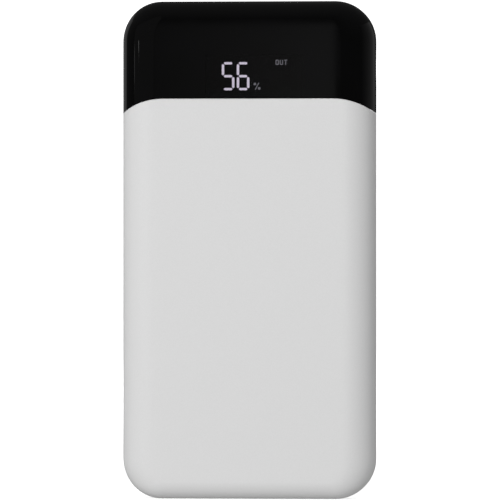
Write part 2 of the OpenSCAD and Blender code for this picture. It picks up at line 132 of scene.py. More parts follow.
class Workpiece:
    """One mesh on the bench, shaped with edit-mode operators and modifiers. Sizes are in mm."""

    def __init__(self, obj: bpy.types.Object) -> None:
        """Takes hold of a mesh object."""
        self.obj = obj

    @classmethod
    def fresh(cls, name: str) -> "Workpiece":
        """Takes hold of the object that was just added, and settles its place and size.

        Args:
            name: Name for the object and its mesh.

        Returns:
            The object as a workpiece.
        """
        bpy.ops.object.transform_apply(location=True, rotation=True, scale=True)
        work = cls(bpy.context.object)
        work.obj.name = work.obj.data.name = name
        return work

    @classmethod
    def bunch(cls, name: str, pieces: list["Workpiece"]) -> "Workpiece":
        """Puts loose pieces together as one object.

        Args:
            name: Name of the object.
            pieces: The pieces. The first takes up the others.

        Returns:
            The first piece.
        """
        pieces[0].gather(*pieces[1:])
        pieces[0].obj.name = name
        return pieces[0]

    @classmethod
    def block(cls, name: str, low: Triple, high: Triple) -> "Workpiece":
        """Starts from a block.

        Args:
            name: Name of the object.
            low: Lowest corner in mm.
            high: Highest corner in mm.

        Returns:
            The block, ready for shaping.
        """
        deselect_all()
        size = Vector(high) - Vector(low)
        centre = (Vector(low) + Vector(high)) / 2
        bpy.ops.mesh.primitive_cube_add(size=1, location=centre * MM, scale=size * MM)
        return cls.fresh(name)

    @classmethod
    def round_bar(
        cls, name: str, radius: float, start: Triple, length: float, axis: Axis, sides: int = 48
    ) -> "Workpiece":
        """Starts from a round bar along one axis.

        Args:
            name: Name of the object.
            radius: Radius in mm.
            start: Centre of the end that is lowest on the axis, in mm.
            length: Length in mm.
            axis: Direction of the bar.
            sides: Number of sides.

        Returns:
            The bar, ready for shaping.
        """
        deselect_all()
        centre = Vector(start)
        centre[axis.value] += length / 2
        turn = {Axis.X: (0, math.pi / 2, 0), Axis.Y: (math.pi / 2, 0, 0), Axis.Z: (0, 0, 0)}[axis]
        bpy.ops.mesh.primitive_cylinder_add(
            vertices=sides,
            radius=radius * MM,
            depth=length * MM,
            location=centre * MM,
            rotation=turn,
        )
        return cls.fresh(name)

    @classmethod
    def prism(
        cls, name: str, low: Triple, high: Triple, axis: Axis, radius: float, steps: int = 8
    ) -> "Workpiece":
        """Starts from a block and rounds its four edges along one axis.

        Args:
            name: Name of the object.
            low: Lowest corner in mm.
            high: Highest corner in mm.
            axis: Direction of the rounded edges.
            radius: Radius of the rounding in mm.
            steps: Segments in each rounding.

        Returns:
            The rounded prism.
        """
        work = cls.block(name, low, high)
        with work.editing():
            work.pick(Element.EDGE, along(axis))
            bpy.ops.mesh.bevel(offset=radius * MM * SHY, segments=steps, affect="EDGES")
        return work

    @classmethod
    def turned(
        cls, name: str, outline: Sequence[Pair], origin: Triple, axis: Axis, sides: int = 40
    ) -> "Workpiece":
        """Draws up a round piece from its outline, as on a lathe.

        Args:
            name: Name of the object.
            outline: Radius and height of each step, from the low end, in mm.
            origin: Middle of the low end in mm.
            axis: Direction of the piece.
            sides: Number of sides.

        Returns:
            The turned piece.
        """
        deselect_all()
        radius, height = outline[0]
        bpy.ops.mesh.primitive_circle_add(vertices=sides, radius=radius * MM, fill_type="NGON")
        work = cls.fresh(name)
        with work.editing():
            bpy.ops.mesh.select_all(action="SELECT")
            for next_radius, next_height in outline[1:]:
                lift = Vector((0, 0, next_height - height)) * MM
                bpy.ops.mesh.extrude_region_move(TRANSFORM_OT_translate={"value": lift})
                scale = next_radius / radius
                bpy.ops.transform.resize(value=(scale, scale, 1))
                radius, height = next_radius, next_height
            bpy.ops.mesh.select_all(action="SELECT")
            bpy.ops.mesh.normals_make_consistent(inside=False)
        turn = {Axis.X: (0, math.pi / 2, 0), Axis.Y: (-math.pi / 2, 0, 0), Axis.Z: (0, 0, 0)}[axis]
        make_active(work.obj)
        work.obj.rotation_euler = turn
        work.obj.location = Vector(origin) * MM
        bpy.ops.object.transform_apply(location=True, rotation=True, scale=True)
        return work

    @contextmanager
    def editing(self) -> Iterator[bpy.types.Object]:
        """Opens edit mode for a while, and leaves it at the end."""
        make_active(self.obj)
        bpy.ops.object.mode_set(mode="EDIT")
        yield self.obj
        bpy.ops.object.mode_set(mode="OBJECT")

    def pick(self, kind: Element, test: Callable[[Any], bool]) -> int:
        """Selects, in edit mode, only the elements that pass a test.

        Args:
            kind: Kind of element to select.
            test: Takes one element and says whether it is wanted.

        Returns:
            How many elements are selected.
        """
        bpy.ops.mesh.select_mode(type=kind.name)
        bpy.ops.mesh.select_all(action="DESELECT")
        mesh = bmesh.from_edit_mesh(self.obj.data)
        wanted = [element for element in getattr(mesh, kind.value) if test(element)]
        for element in wanted:
            element.select_set(True)
        bmesh.update_edit_mesh(self.obj.data)
        return len(wanted)

    def apply(self, kind: str, **settings: Any) -> "Workpiece":
        """Adds a modifier and applies it.

        Args:
            kind: Type of the modifier.
            **settings: Values for its properties.

        Returns:
            This workpiece.
        """
        modifier = self.obj.modifiers.new(kind.lower(), kind)
        for name, value in settings.items():
            setattr(modifier, name, value)
        make_active(self.obj)
        bpy.ops.object.modifier_apply(modifier=modifier.name)
        return self

    def combine(self, tool: "Workpiece", operation: str) -> "Workpiece":
        """Cuts, meets or joins this piece with another solid.

        Args:
            tool: The other solid, which is used up.
            operation: DIFFERENCE, INTERSECT or UNION.

        Returns:
            This workpiece.
        """
        self.apply("BOOLEAN", operation=operation, object=tool.obj, solver="MANIFOLD")
        tool.scrap()
        return self

    def cut(self, tool: "Workpiece") -> "Workpiece":
        """Takes another solid away from this one."""
        return self.combine(tool, "DIFFERENCE")

    def meet(self, tool: "Workpiece") -> "Workpiece":
        """Keeps only what lies inside another solid."""
        return self.combine(tool, "INTERSECT")

    def join(self, tool: "Workpiece") -> "Workpiece":
        """Welds another solid to this one."""
        return self.combine(tool, "UNION")

    def gather(self, *others: "Workpiece") -> "Workpiece":
        """Puts other loose meshes into this object without welding them."""
        make_active(self.obj)
        for other in others:
            other.obj.select_set(True)
        bpy.ops.object.join()
        return self

    def twin(self, name: str, shift: Triple = (0, 0, 0)) -> "Workpiece":
        """Copies this piece, with a mesh of its own.

        Args:
            name: Name of the copy.
            shift: How far the copy is moved, in mm.

        Returns:
            The copy.
        """
        copy = self.obj.copy()
        copy.data = self.obj.data.copy()
        copy.name = copy.data.name = name
        bpy.context.scene.collection.objects.link(copy)
        copy.data.transform(Matrix.Translation(Vector(shift) * MM))
        return Workpiece(copy)

    def scrap(self) -> None:
        """Takes this piece off the bench."""
        mesh = self.obj.data
        bpy.data.objects.remove(self.obj)
        bpy.data.meshes.remove(mesh)

    def soften(self, width: float, steps: int = 2, angle: float = 40) -> "Workpiece":
        """Rounds, by a width in mm, every edge that turns by more than an angle in degrees."""
        return self.apply(
            "BEVEL",
            width=width * MM,
            segments=steps,
            limit_method="ANGLE",
            angle_limit=math.radians(angle),
            use_clamp_overlap=True,
            harden_normals=False,
        )

    def ease_edges(
        self, near: Callable[[Vector], bool], width: float, steps: int = 2
    ) -> "Workpiece":
        """Rounds the sharp edges of one part of the piece.

        Args:
            near: Takes the middle of an edge in mm and says whether it is in that part.
            width: Width of the rounding in mm.
            steps: Segments in it.

        Returns:
            This workpiece.
        """

        def sharp(edge: Any) -> bool:
            """Says whether an edge of that part turns by more than 40 degrees."""
            middle_point = (edge.verts[0].co + edge.verts[1].co) / 2 / MM
            return edge.calc_face_angle(0) > math.radians(40) and near(middle_point)

        with self.editing():
            if self.pick(Element.EDGE, sharp):
                bpy.ops.mesh.bevel(
                    offset=width * MM, segments=steps, affect="EDGES", clamp_overlap=True
                )
        return self

    def level(self, angle: float = 0.4) -> "Workpiece":
        """Merges neighbouring faces that lie almost in one plane.

        Args:
            angle: Largest turn between such faces, in degrees.

        Returns:
            This workpiece.
        """
        with self.editing():
            bpy.ops.mesh.select_all(action="SELECT")
            bpy.ops.mesh.dissolve_limited(angle_limit=math.radians(angle))
        return self

    def tidy(self, distance: float = 0.01) -> "Workpiece":
        """Merges points that all but coincide.

        Args:
            distance: Largest distance merged, in mm.

        Returns:
            This workpiece.
        """
        with self.editing():
            bpy.ops.mesh.select_all(action="SELECT")
            bpy.ops.mesh.remove_doubles(threshold=distance * MM)
            bpy.ops.mesh.dissolve_degenerate(threshold=distance * MM / 2)
        return self

    def polish(self, angle: float = 35) -> "Workpiece":
        """Shades the piece smooth up to an angle, and keeps its flat faces flat.

        Args:
            angle: Largest turn between two faces shaded as one, in degrees.

        Returns:
            This workpiece.
        """
        make_active(self.obj)
        bpy.ops.object.shade_smooth_by_angle(angle=math.radians(angle))
        return self.apply("WEIGHTED_NORMAL", mode="FACE_AREA", weight=80, keep_sharp=True)

    def place(self, *nodes: str, body: Body = Body.CASE) -> "Workpiece":
        """Puts the piece in the place of its CAD nodes, with the finish of their slot.

        Args:
            *nodes: CAD nodes that the piece stands for.
            body: Body that the piece moves with.

        Returns:
            This workpiece.
        """
        slot = SLOT_OF[nodes[0]]
        if not any(self.obj.data.materials):
            self.obj.data.materials.clear()
            self.obj.data.materials.append(FINISHES[slot].material())
        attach(self.obj, body.value)
        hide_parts(*nodes)
        LOG.info("%s: %d faces on %s", self.obj.name, len(self.obj.data.polygons), body.value)
        return self

    def paint(self, finishes: list["Finish"], choose: Callable[[Any], int]) -> "Workpiece":
        """Gives the faces one of several finishes.

        Args:
            finishes: The finishes, in the order of their numbers.
            choose: Takes one face and returns the number of its finish.

        Returns:
            This workpiece.
        """
        self.obj.data.materials.clear()
        for finish in finishes:
            self.obj.data.materials.append(finish.material())
        for face in self.obj.data.polygons:
            face.material_index = choose(face)
        return self

    def row(self, count: int, step: Triple) -> "Workpiece":
        """Repeats the piece in a straight row, with a step in mm from one to the next."""
        return self.apply(
            "ARRAY",
            count=count,
            use_relative_offset=False,
            use_constant_offset=True,
            constant_offset_displace=Vector(step) * MM,
        )

    def push(self, kind: Element, test: Callable[[Any], bool], shift: Triple) -> "Workpiece":
        """Moves the elements that pass a test.

        Args:
            kind: Kind of element to move.
            test: Takes one element and says whether it moves.
            shift: How far it moves, in mm.

        Returns:
            This workpiece.
        """
        with self.editing():
            if self.pick(kind, test):
                bpy.ops.transform.translate(value=Vector(shift) * MM)
        return self

    def ease(self, axis: Axis, sign: int, width: float, steps: int = 2) -> "Workpiece":
        """Rounds the rim of the faces that look one way.

        Args:
            axis: Direction that the faces look along.
            sign: 1 for its positive side, -1 for its negative side.
            width: Width of the rounding in mm.
            steps: Segments in it.

        Returns:
            This workpiece.
        """
        with self.editing():
            if self.pick(Element.FACE, facing(axis, sign)):
                bpy.ops.mesh.region_to_loop()
                bpy.ops.mesh.bevel(offset=width * MM, segments=steps, affect="EDGES")
        return self


def along(axis: Axis) -> Callable[[Any], bool]:
    """Makes a test for edges that run along one axis.

    Args:
        axis: The direction looked for.

    Returns:
        A test that takes one edge.
    """

    def test(edge: Any) -> bool:
        """Says whether one edge runs along the axis."""
        run = edge.verts[1].co - edge.verts[0].co
        return all(abs(run[i]) < TINY for i in range(3) if i != axis.value)

    return test


def facing(axis: Axis, sign: int) -> Callable[[Any], bool]:
    """Makes a test for faces that look along one axis.

    Args:
        axis: The direction looked for.
        sign: 1 for its positive side, -1 for its negative side.

    Returns:
        A test that takes one face.
    """

    def test(face: Any) -> bool:
        """Says whether one face looks along the axis."""
        return face.normal[axis.value] * sign > 0.999

    return test


# ---- Finishes ----


class Pattern(Enum):
    """Ways in which a finish varies over its surface."""

    GRAIN = "grain"
    BRUSHED = "brushed"
    WRINKLE = "wrinkle"
    TRACES = "traces"


# Part of the noise's range that each pattern spreads from 0 to 1.
NOISE_RANGE = {
    Pattern.GRAIN: (0.3, 0.7),
    Pattern.BRUSHED: (0.3, 0.7),
    Pattern.WRINKLE: (0.35, 0.65),
    Pattern.TRACES: (0.25, 0.45),
}
BRUSH_STRETCH = (1, 1, 0.06)


def fill(node: bpy.types.Node, inputs: dict[str, Any]) -> None:
    """Sets inputs of a shader node.

    Args:
        node: The node.
        inputs: For each input its value, or the socket that feeds it.
    """
    for name, value in inputs.items():
        if isinstance(value, bpy.types.NodeSocket):
            node.id_data.links.new(value, node.inputs[name])
        else:
            node.inputs[name].default_value = value


def add_node(
    tree: bpy.types.NodeTree, kind: str, inputs: dict[str, Any] | None = None
) -> bpy.types.Node:
    """Adds a shader node.

    Args:
        tree: Node tree of a material or of the world.
        kind: Type of the node, without its prefix.
        inputs: For each input its value, or the socket that feeds it.

    Returns:
        The node.
    """
    node = tree.nodes.new("ShaderNode" + kind)
    fill(node, inputs or {})
    return node


def ranged(
    tree: bpy.types.NodeTree,
    source: bpy.types.NodeSocket,
    ends: tuple[Any, Any] = (0, 1),
    to: tuple[Any, Any] = (0, 1),
) -> bpy.types.NodeSocket:
    """Maps one range of a value to another.

    Args:
        tree: Node tree of a material or of the world.
        source: Socket that carries the value.
        ends: First and last value of the range.
        to: What they become, as values or sockets.

    Returns:
        The socket that carries the mapped value.
    """
    limits = {"From Min": ends[0], "From Max": ends[1], "To Min": to[0], "To Max": to[1]}
    return add_node(tree, "MapRange", {"Value": source, **limits}).outputs["Result"]


@dataclass(frozen=True)
class Finish:
    """One procedural surface finish.

    Attributes:
        name: Name of the material.
        dark: Colour in the low places of the pattern.
        light: Colour in its high places.
        rough: Least and greatest roughness.
        scale: Size of the pattern, in repeats per metre.
        bump: Height of the relief in metres.
        pattern: Kind of pattern.
        metal: Share of metal, 0 or 1.
        glow: Strength of its own light.
        clear: Share of light that passes through.
    """

    name: str
    dark: Triple
    light: Triple
    rough: Pair = (0.4, 0.5)
    scale: float = 2000
    bump: float = 0.00001
    pattern: Pattern = Pattern.GRAIN
    metal: float = 0
    glow: float = 0
    clear: float = 0

    def material(self) -> bpy.types.Material:
        """Returns the material, and builds it the first time."""
        return bpy.data.materials.get(self.name) or self.build()

    def build(self) -> bpy.types.Material:
        """Builds the node tree of the finish.

        Returns:
            The new material.
        """
        material = bpy.data.materials.new(self.name)
        material.use_nodes = True
        tree = material.node_tree
        height = self.relief(tree)
        colour = add_node(tree, "Mix")
        colour.data_type = "RGBA"
        fill(colour, {"A": (*self.dark, 1), "B": (*self.light, 1), "Factor": height})
        inputs = {
            "Metallic": self.metal,
            "Transmission Weight": self.clear,
            "Base Color": colour.outputs["Result"],
            "Roughness": ranged(tree, height, to=self.rough),
        }
        if self.glow:
            inputs |= {"Emission Color": (*self.light, 1), "Emission Strength": self.glow}
        if self.bump:
            bump = add_node(tree, "Bump", {"Distance": self.bump, "Height": height})
            inputs["Normal"] = bump.outputs["Normal"]
        fill(tree.nodes["Principled BSDF"], inputs)
        return material

    def relief(self, tree: bpy.types.NodeTree) -> bpy.types.NodeSocket:
        """Builds the pattern, as a height from 0 to 1 in object coordinates.

        Args:
            tree: Node tree of the material.

        Returns:
            The socket that carries the height.
        """
        place = add_node(tree, "TexCoord").outputs["Object"]
        stretch = BRUSH_STRETCH if self.pattern is Pattern.BRUSHED else (1, 1, 1)
        turn = add_node(tree, "Mapping", {"Vector": place, "Scale": stretch})
        if self.pattern is Pattern.TRACES:
            noise = add_node(tree, "TexVoronoi")
            noise.distance = "CHEBYCHEV"
            out = noise.outputs["Distance"]
        else:
            noise = add_node(tree, "TexNoise", {"Detail": 3, "Roughness": 0.6})
            out = noise.outputs["Fac"]
        fill(noise, {"Scale": self.scale, "Vector": turn.outputs["Vector"]})
        return ranged(tree, out, NOISE_RANGE[self.pattern])


SMOKED = Finish(
    "smoked_window",
    (0.095, 0.095, 0.098),
    (0.105, 0.105, 0.108),
    (0.03, 0.05),
    90,
    0,
    clear=1,
)
BARE_COPPER = Finish(
    "bare_copper", (0.7, 0.42, 0.16), (0.85, 0.58, 0.26), (0.25, 0.4), 2200, 0.000001, metal=1
)
FINE = 0.000004  # depth in metres of a fine moulded texture
ROUGH = 0.00002  # depth in metres of a rough cast or printed one
STEEL = {"pattern": Pattern.BRUSHED, "metal": 1, "bump": 0.000001}
FINISHES = {
    finish.name: finish
    for finish in (
        Finish("glossy_black", (0.0006,) * 3, (0.001, 0.001, 0.0012), (0.03, 0.05), 90, 0),
        Finish("pale_matte", (0.775,) * 3, (0.8,) * 3, (0.5, 0.6), 2600, 0.000006),
        Finish("black_matte", (0.008,) * 3, (0.014,) * 3, (0.3, 0.42), 3000, FINE),
        Finish("grey_plastic", (0.036, 0.037, 0.041), (0.055, 0.057, 0.063), (0.4, 0.55), 1500),
        Finish(
            "circuit_board",
            (0.008, 0.075, 0.03),
            (0.016, 0.125, 0.05),
            (0.22, 0.3),
            420,
            ROUGH,
            Pattern.TRACES,
        ),
        Finish("screw_steel", (0.45,) * 3, (0.62, 0.62, 0.64), (0.22, 0.38), 1800, **STEEL),
        Finish("socket_steel", (0.6,) * 3, (0.72, 0.72, 0.73), (0.2, 0.34), 1400, **STEEL),
        Finish("socket_white", (0.72, 0.72, 0.69), (0.78, 0.78, 0.75), (0.4, 0.5), 2500, FINE),
        Finish("contact_gold", (0.78, 0.5, 0.17), (0.9, 0.62, 0.25), (0.18, 0.3), 1500, **STEEL),
        Finish("light_lit", (0.75, 0.68, 0.79), (0.87, 0.79, 0.93), (0.4, 0.5), 2500, 0, glow=6.4),
        Finish("light_dark", (0.02, 0.02, 0.024), (0.035, 0.035, 0.04), (0.35, 0.5), 2500, FINE),
        Finish("icon_grey", (0.6, 0.58, 0.64), (0.82, 0.8, 0.88), (0.4, 0.5), 2500, 0, glow=1.55),
        Finish("mask_film", (0.003,) * 3, (0.006, 0.006, 0.007), (0.45, 0.6), 1800, FINE),
        Finish("foam", (0.018,) * 3, (0.045, 0.045, 0.05), (0.85, 0.98), 1600, 0.00012),
        Finish("chip_black", (0.01,) * 3, (0.024, 0.024, 0.026), (0.42, 0.6), 3600, 0.000008),
        Finish("ferrite", (0.035,) * 3, (0.08, 0.08, 0.088), (0.5, 0.7), 2200, ROUGH),
        Finish("can_aluminium", (0.6, 0.6, 0.62), (0.75, 0.76, 0.78), (0.24, 0.4), 1200, **STEEL),
        Finish("ceramic_tan", (0.34, 0.22, 0.115), (0.46, 0.32, 0.18), (0.45, 0.6), 2600, FINE),
        Finish("switch_steel", (0.52,) * 3, (0.68, 0.68, 0.7), (0.22, 0.36), 1800, **STEEL),
        Finish("switch_white", (0.74, 0.74, 0.71), (0.8, 0.8, 0.77), (0.38, 0.5), 2600, FINE),
        Finish(
            "pouch_foil",
            (0.5, 0.5, 0.52),
            (0.66, 0.67, 0.69),
            (0.28, 0.42),
            95,
            0.00035,
            Pattern.WRINKLE,
            metal=1,
        ),
        Finish("adhesive", (0.7, 0.69, 0.63), (0.8, 0.79, 0.74), (0.6, 0.8), 900, ROUGH),
        Finish("tab_nickel", (0.55, 0.55, 0.52), (0.7, 0.7, 0.67), (0.25, 0.4), 1500, **STEEL),
        Finish("amber_tape", (0.5, 0.24, 0.02), (0.68, 0.37, 0.05), (0.16, 0.28), 260, 0.00004),
        Finish("lead_red", (0.4, 0.012, 0.01), (0.52, 0.025, 0.018), (0.4, 0.55), 1800, FINE),
        Finish("lead_black", (0.009,) * 3, (0.017, 0.017, 0.019), (0.4, 0.55), 1800, FINE),
        Finish(
            "solder", (0.58, 0.58, 0.59), (0.72, 0.73, 0.74), (0.15, 0.32), 700, ROUGH, metal=1
        ),
        Finish("sensor_bead", (0.22, 0.035, 0.012), (0.34, 0.07, 0.025), (0.15, 0.3), 900, ROUGH),
    )
}
SLOT_OF: dict[str, str] = {}


def corners(node: str) -> tuple[Vector, Vector]:
    """Returns the lowest and the highest corner of a CAD node, in mm."""
    low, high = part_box(node)
    return low / MM, high / MM


# ---- Case ----


@dataclass
class CaseForm:
    """Outer form of the power bank and the cutters that follow its hood line.

    Attributes:
        width: Width across the round sides.
        thick: Thickness from front to back.
        height: Height from the foot to the socket end.
        corner: Radius of the outline corners.
        end_round: Rounding where the broad faces meet the two ends.
        wall: Wall thickness.
        hood: Height of the hood in the middle.
        shoulder: Radius of the arcs that end the hood's lower edge.
        straight: Length of the straight part of that edge.
        crest: Half the flat that is left along the middle of each round side.
    """

    width: float = 72
    thick: float = 19
    height: float = 141
    corner: float = 11.4
    end_round: float = 5.2
    wall: float = 1.6
    hood: float = 27.7
    shoulder: float = 19.7
    straight: float = 48
    crest: float = 0.1

    @property
    def split(self) -> float:
        """Height of the hood's lower edge in the middle."""
        return self.height - self.hood

    def solid(self, inset: float, steps: int = 18) -> Workpiece:
        """Makes the body form, set in from the outer surface.

        Args:
            inset: How far the surface is set in, in mm.
            steps: Segments in each quarter turn.

        Returns:
            A closed solid with full-round sides and gently rounded ends.
        """
        half_w, half_t = self.width / 2 - inset, self.thick / 2 - inset
        work = Workpiece.prism(
            "form",
            (-half_w, -half_t, inset),
            (half_w, half_t, self.height - inset),
            Axis.Y,
            self.corner - inset,
            steps,
        )
        mesh = work.obj.data
        weights = mesh.attributes.new("bevel_weight_edge", "FLOAT", "EDGE")
        end_share = (self.end_round - inset) / (half_t - self.crest)
        for edge in mesh.edges:
            start, stop = (mesh.vertices[i].co for i in edge.vertices)
            run = stop - start
            if abs(run.y) < TINY:
                lean = math.atan2(abs(run.x), abs(run.z)) / (math.pi / 2)
                ease = lean * lean * (3 - 2 * lean)
                weights.data[edge.index].value = 1 - ease + ease * end_share
        work.apply(
            "BEVEL",
            limit_method="WEIGHT",
            width=(half_t - self.crest) * MM,
            segments=steps,
            offset_type="OFFSET",
            use_clamp_overlap=False,
        )
        self.close_corners(work, half_t)
        return work.tidy(0.001)

    def close_corners(self, work: Workpiece, half_t: float) -> None:
        """Draws together the points that crowd where a broad flat meets its end roundings.

        Args:
            work: The body form.
            half_t: Distance from the middle to its broad flats, in mm.
        """
        foot, top = self.end_round + 0.002, self.height - self.end_round - 0.002
        for x_side, y_side, z_side in itertools.product((-1, 1), repeat=3):

            def crowded(vert: Any) -> bool:
                """Says whether a point belongs to this corner's crowd."""
                x, y, z = vert.co / MM
                end = z < foot if z_side < 0 else z > top
                return end and x * x_side > 20 and y * y_side > half_t - 0.002

            with work.editing():
                if work.pick(Element.VERT, crowded) > 1:
                    bpy.ops.mesh.merge(type="CENTER")

    def below_hood(self, rise: float) -> Workpiece:
        """Makes the cutter that fills all space under the hood's edge.

        Args:
            rise: How far the cutter is raised, in mm.

        Returns:
            A deep block whose two upper corners follow the shoulders.
        """
        half = self.straight / 2 + self.shoulder
        work = Workpiece.block("below", (-half, -60, -200), (half, 60, self.split + rise))
        with work.editing():
            work.pick(Element.EDGE, lambda edge: along(Axis.Y)(edge) and edge.verts[0].co.z > 0)
            bpy.ops.mesh.bevel(offset=self.shoulder * MM, segments=36, affect="EDGES")
        return work

    def slot_cutter(
        self, long: float, short: float, centre: Triple, axis: Axis, reach: float
    ) -> Workpiece:
        """Makes a bar of slot section that starts at a point and runs along an axis.

        Args:
            long: Overall length of the section, along Z for a bar in X and along X for one in Z.
            short: Width of the section, along Y.
            centre: Start of the bar in mm.
            axis: X or Z.
            reach: Length of the bar.

        Returns:
            The bar.
        """
        x, y, z = centre
        if axis is Axis.Z:
            low = (x - long / 2, y - short / 2, z)
            high = (x + long / 2, y + short / 2, z + reach)
        else:
            low = (x, y - short / 2, z - long / 2)
            high = (x + reach, y + short / 2, z + long / 2)
        return Workpiece.prism("slot_bar", low, high, axis, short / 2, 12)


@dataclass
class Hood:
    """Glossy hood over the socket end, with a smoked window in front of the display.

    Attributes:
        form: Shared body form.
        bezel: Length and width of the socket opening.
        button: Length and width of the button opening.
        button_z: Height of the button.
        window: Low x, high x, low z and high z of the smoked window.
        margin: Width of the rim that takes up the turn between the flat and its roundings.
    """

    form: CaseForm
    bezel: Pair = (48.4, 7.8)
    button: Pair = (11.24, 3.84)
    button_z: float = 122.3
    window: tuple[float, float, float, float] = (-12, 16, 113.9, 125.6)
    margin: float = 0.25

    def build(self) -> Workpiece:
        """Models the hood and puts it in place.

        Returns:
            The finished piece.
        """
        form = self.form
        work = form.solid(0)
        work.cut(form.below_hood(0)).cut(form.solid(form.wall))
        top = (0, 0, form.height - 2 * form.wall)
        side = (form.width / 2 - 2 * form.wall, 0, self.button_z)
        work.cut(form.slot_cutter(*self.bezel, top, Axis.Z, 20))
        work.cut(form.slot_cutter(*self.button, side, Axis.X, 20))
        work.obj.name = "hood"
        work.tidy(0.002)
        work.ease_edges(lambda at: at.z < 118 or at.z > 137.4 or at.x > 30, 0.14)
        self.dress(work)
        return work.polish().place("top_hood")

    def dress(self, work: Workpiece) -> None:
        """Cuts the window's outline into the flat front and gives it the smoked finish.

        Args:
            work: The hood.
        """
        low_x, high_x, low_z, high_z = self.window
        cuts = [(low_x, 0), (high_x, 0), (low_z, 2), (high_z, 2)]
        with work.editing():
            work.pick(Element.FACE, lambda face: facing_front(face) and face.normal.y < -0.99999)
            bpy.ops.mesh.inset(thickness=self.margin * MM)
            for place, index in cuts:
                work.pick(Element.FACE, facing_front)
                normal = Vector((0, 0, 0))
                normal[index] = 1
                bpy.ops.mesh.bisect(plane_co=normal * place * MM, plane_no=normal)

        def through(face: Any) -> int:
            """Says whether a face belongs to the window."""
            x, y, z = face.center / MM
            flat = abs(face.normal.y) > 0.999 and y < 0
            return int(flat and low_x < x < high_x and low_z < z < high_z)

        work.paint([FINISHES["glossy_black"], SMOKED], through)


def facing_front(face: Any) -> bool:
    """Says whether a face lies flat in the front wall."""
    return abs(face.normal.y) > 0.999 and face.calc_center_median().y < 0


@dataclass
class CaseShells:
    """The two pale half shells, with the neck that the hood slides over and a locating lip.

    Attributes:
        form: Shared body form.
        seam: Visible joint between fixed pieces.
        band: Height of the thicker band under the hood's edge.
        neck: Height of the neck inside the hood.
        neck_in: How far the neck's inner surface is set in.
        notch: Low x, high x and low z of the display opening in the front neck.
    """

    form: CaseForm
    seam: float = 0.08
    band: float = 3
    neck: float = 4
    neck_in: float = 2.7
    notch: Triple = (-12.5, 16.5, 113.5)

    def sleeve(self) -> Workpiece:
        """Models the whole case before it is parted into two halves.

        Returns:
            A sleeve with a closed foot, its band and its neck.
        """
        form = self.form
        outer = form.solid(0).meet(form.below_hood(-self.seam))
        outer.cut(form.solid(form.wall))
        band = form.solid(form.wall - 0.3).meet(form.below_hood(-self.seam))
        band.cut(form.below_hood(-self.band))
        neck = form.solid(form.wall + 0.1).meet(form.below_hood(self.neck))
        neck.cut(form.below_hood(-self.band + 0.5))
        band.join(neck).cut(form.solid(self.neck_in))
        return outer.join(band).tidy(0.002).level()

    def half(self, whole: Workpiece, name: str, side: int) -> Workpiece:
        """Keeps one half of the sleeve.

        Args:
            whole: The whole sleeve, which is left as it is.
            name: Name of the half.
            side: -1 for the front half, 1 for the back half.

        Returns:
            The half, closed along the joint.
        """
        work = whole.twin(name)
        with work.editing():
            bpy.ops.mesh.select_all(action="SELECT")
            bpy.ops.mesh.bisect(
                plane_co=(0, side * self.seam / 2 * MM, 0),
                plane_no=(0, side, 0),
                use_fill=True,
                clear_inner=True,
            )
        return work

    def build(self) -> list[Workpiece]:
        """Models both halves and puts them in place.

        Returns:
            The front shell and the back shell.
        """
        whole = self.sleeve()
        front = self.half(whole, "front_case", -1)
        back = self.half(whole, "back_case", 1)
        whole.scrap()
        low_x, high_x, low_z = self.notch
        front.cut(Workpiece.block("notch", (low_x, -9.5, low_z), (high_x, 0, 130)))
        made = []
        for work, node in ((front, "front_shell"), (back, "back_shell")):
            work.tidy(0.002).level()
            work.ease_edges(lambda at: abs(at.y) < 1 or at.z > 108, 0.1)
            made.append(work.polish().place(node))
        return made


@dataclass
class PortBezel:
    """Satin plate round the sockets, held from behind by its flange.

    Attributes:
        form: Shared body form.
        size: Length and width of the plate.
        pitch: Distance from the middle socket to each wide one.
        wide: Width and thickness of a wide mouth.
        slim: Width and thickness of the slim mouth.
        slim_y: Depth at which the slim mouth lies.
        flange: Thickness of the flange.
        mouth_corner: Radius of a wide mouth's corners.
        rim: Rounding of the upper edges.
    """

    form: CaseForm
    size: Pair = (48.24, 7.64)
    pitch: float = 14.6
    wide: Pair = (13.54, 6.14)
    slim: Pair = (9.14, 3.44)
    slim_y: float = -1.35
    flange: float = 1.1
    mouth_corner: float = 0.6
    rim: float = 0.22

    def build(self) -> Workpiece:
        """Models the bezel and puts it in place."""
        low, high = corners("port_bezel")
        start = (0, 0, low.z)
        work = self.form.slot_cutter(*self.size, start, Axis.Z, high.z - low.z)
        flange = (high.x - low.x, high.y - low.y)
        work.join(self.form.slot_cutter(*flange, start, Axis.Z, self.flange))
        half_w, half_t = self.wide[0] / 2, self.wide[1] / 2
        for x in (-self.pitch, self.pitch):
            mouth = (x - half_w, -half_t, low.z - 1), (x + half_w, half_t, high.z + 1)
            work.cut(Workpiece.prism("mouth", *mouth, Axis.Z, self.mouth_corner))
        middle_mouth = (0, self.slim_y, low.z - 1)
        work.cut(self.form.slot_cutter(*self.slim, middle_mouth, Axis.Z, 6))
        work.obj.name = "bezel"
        work.tidy().ease(Axis.Z, 1, self.rim, 3)
        return work.polish().place("port_bezel")


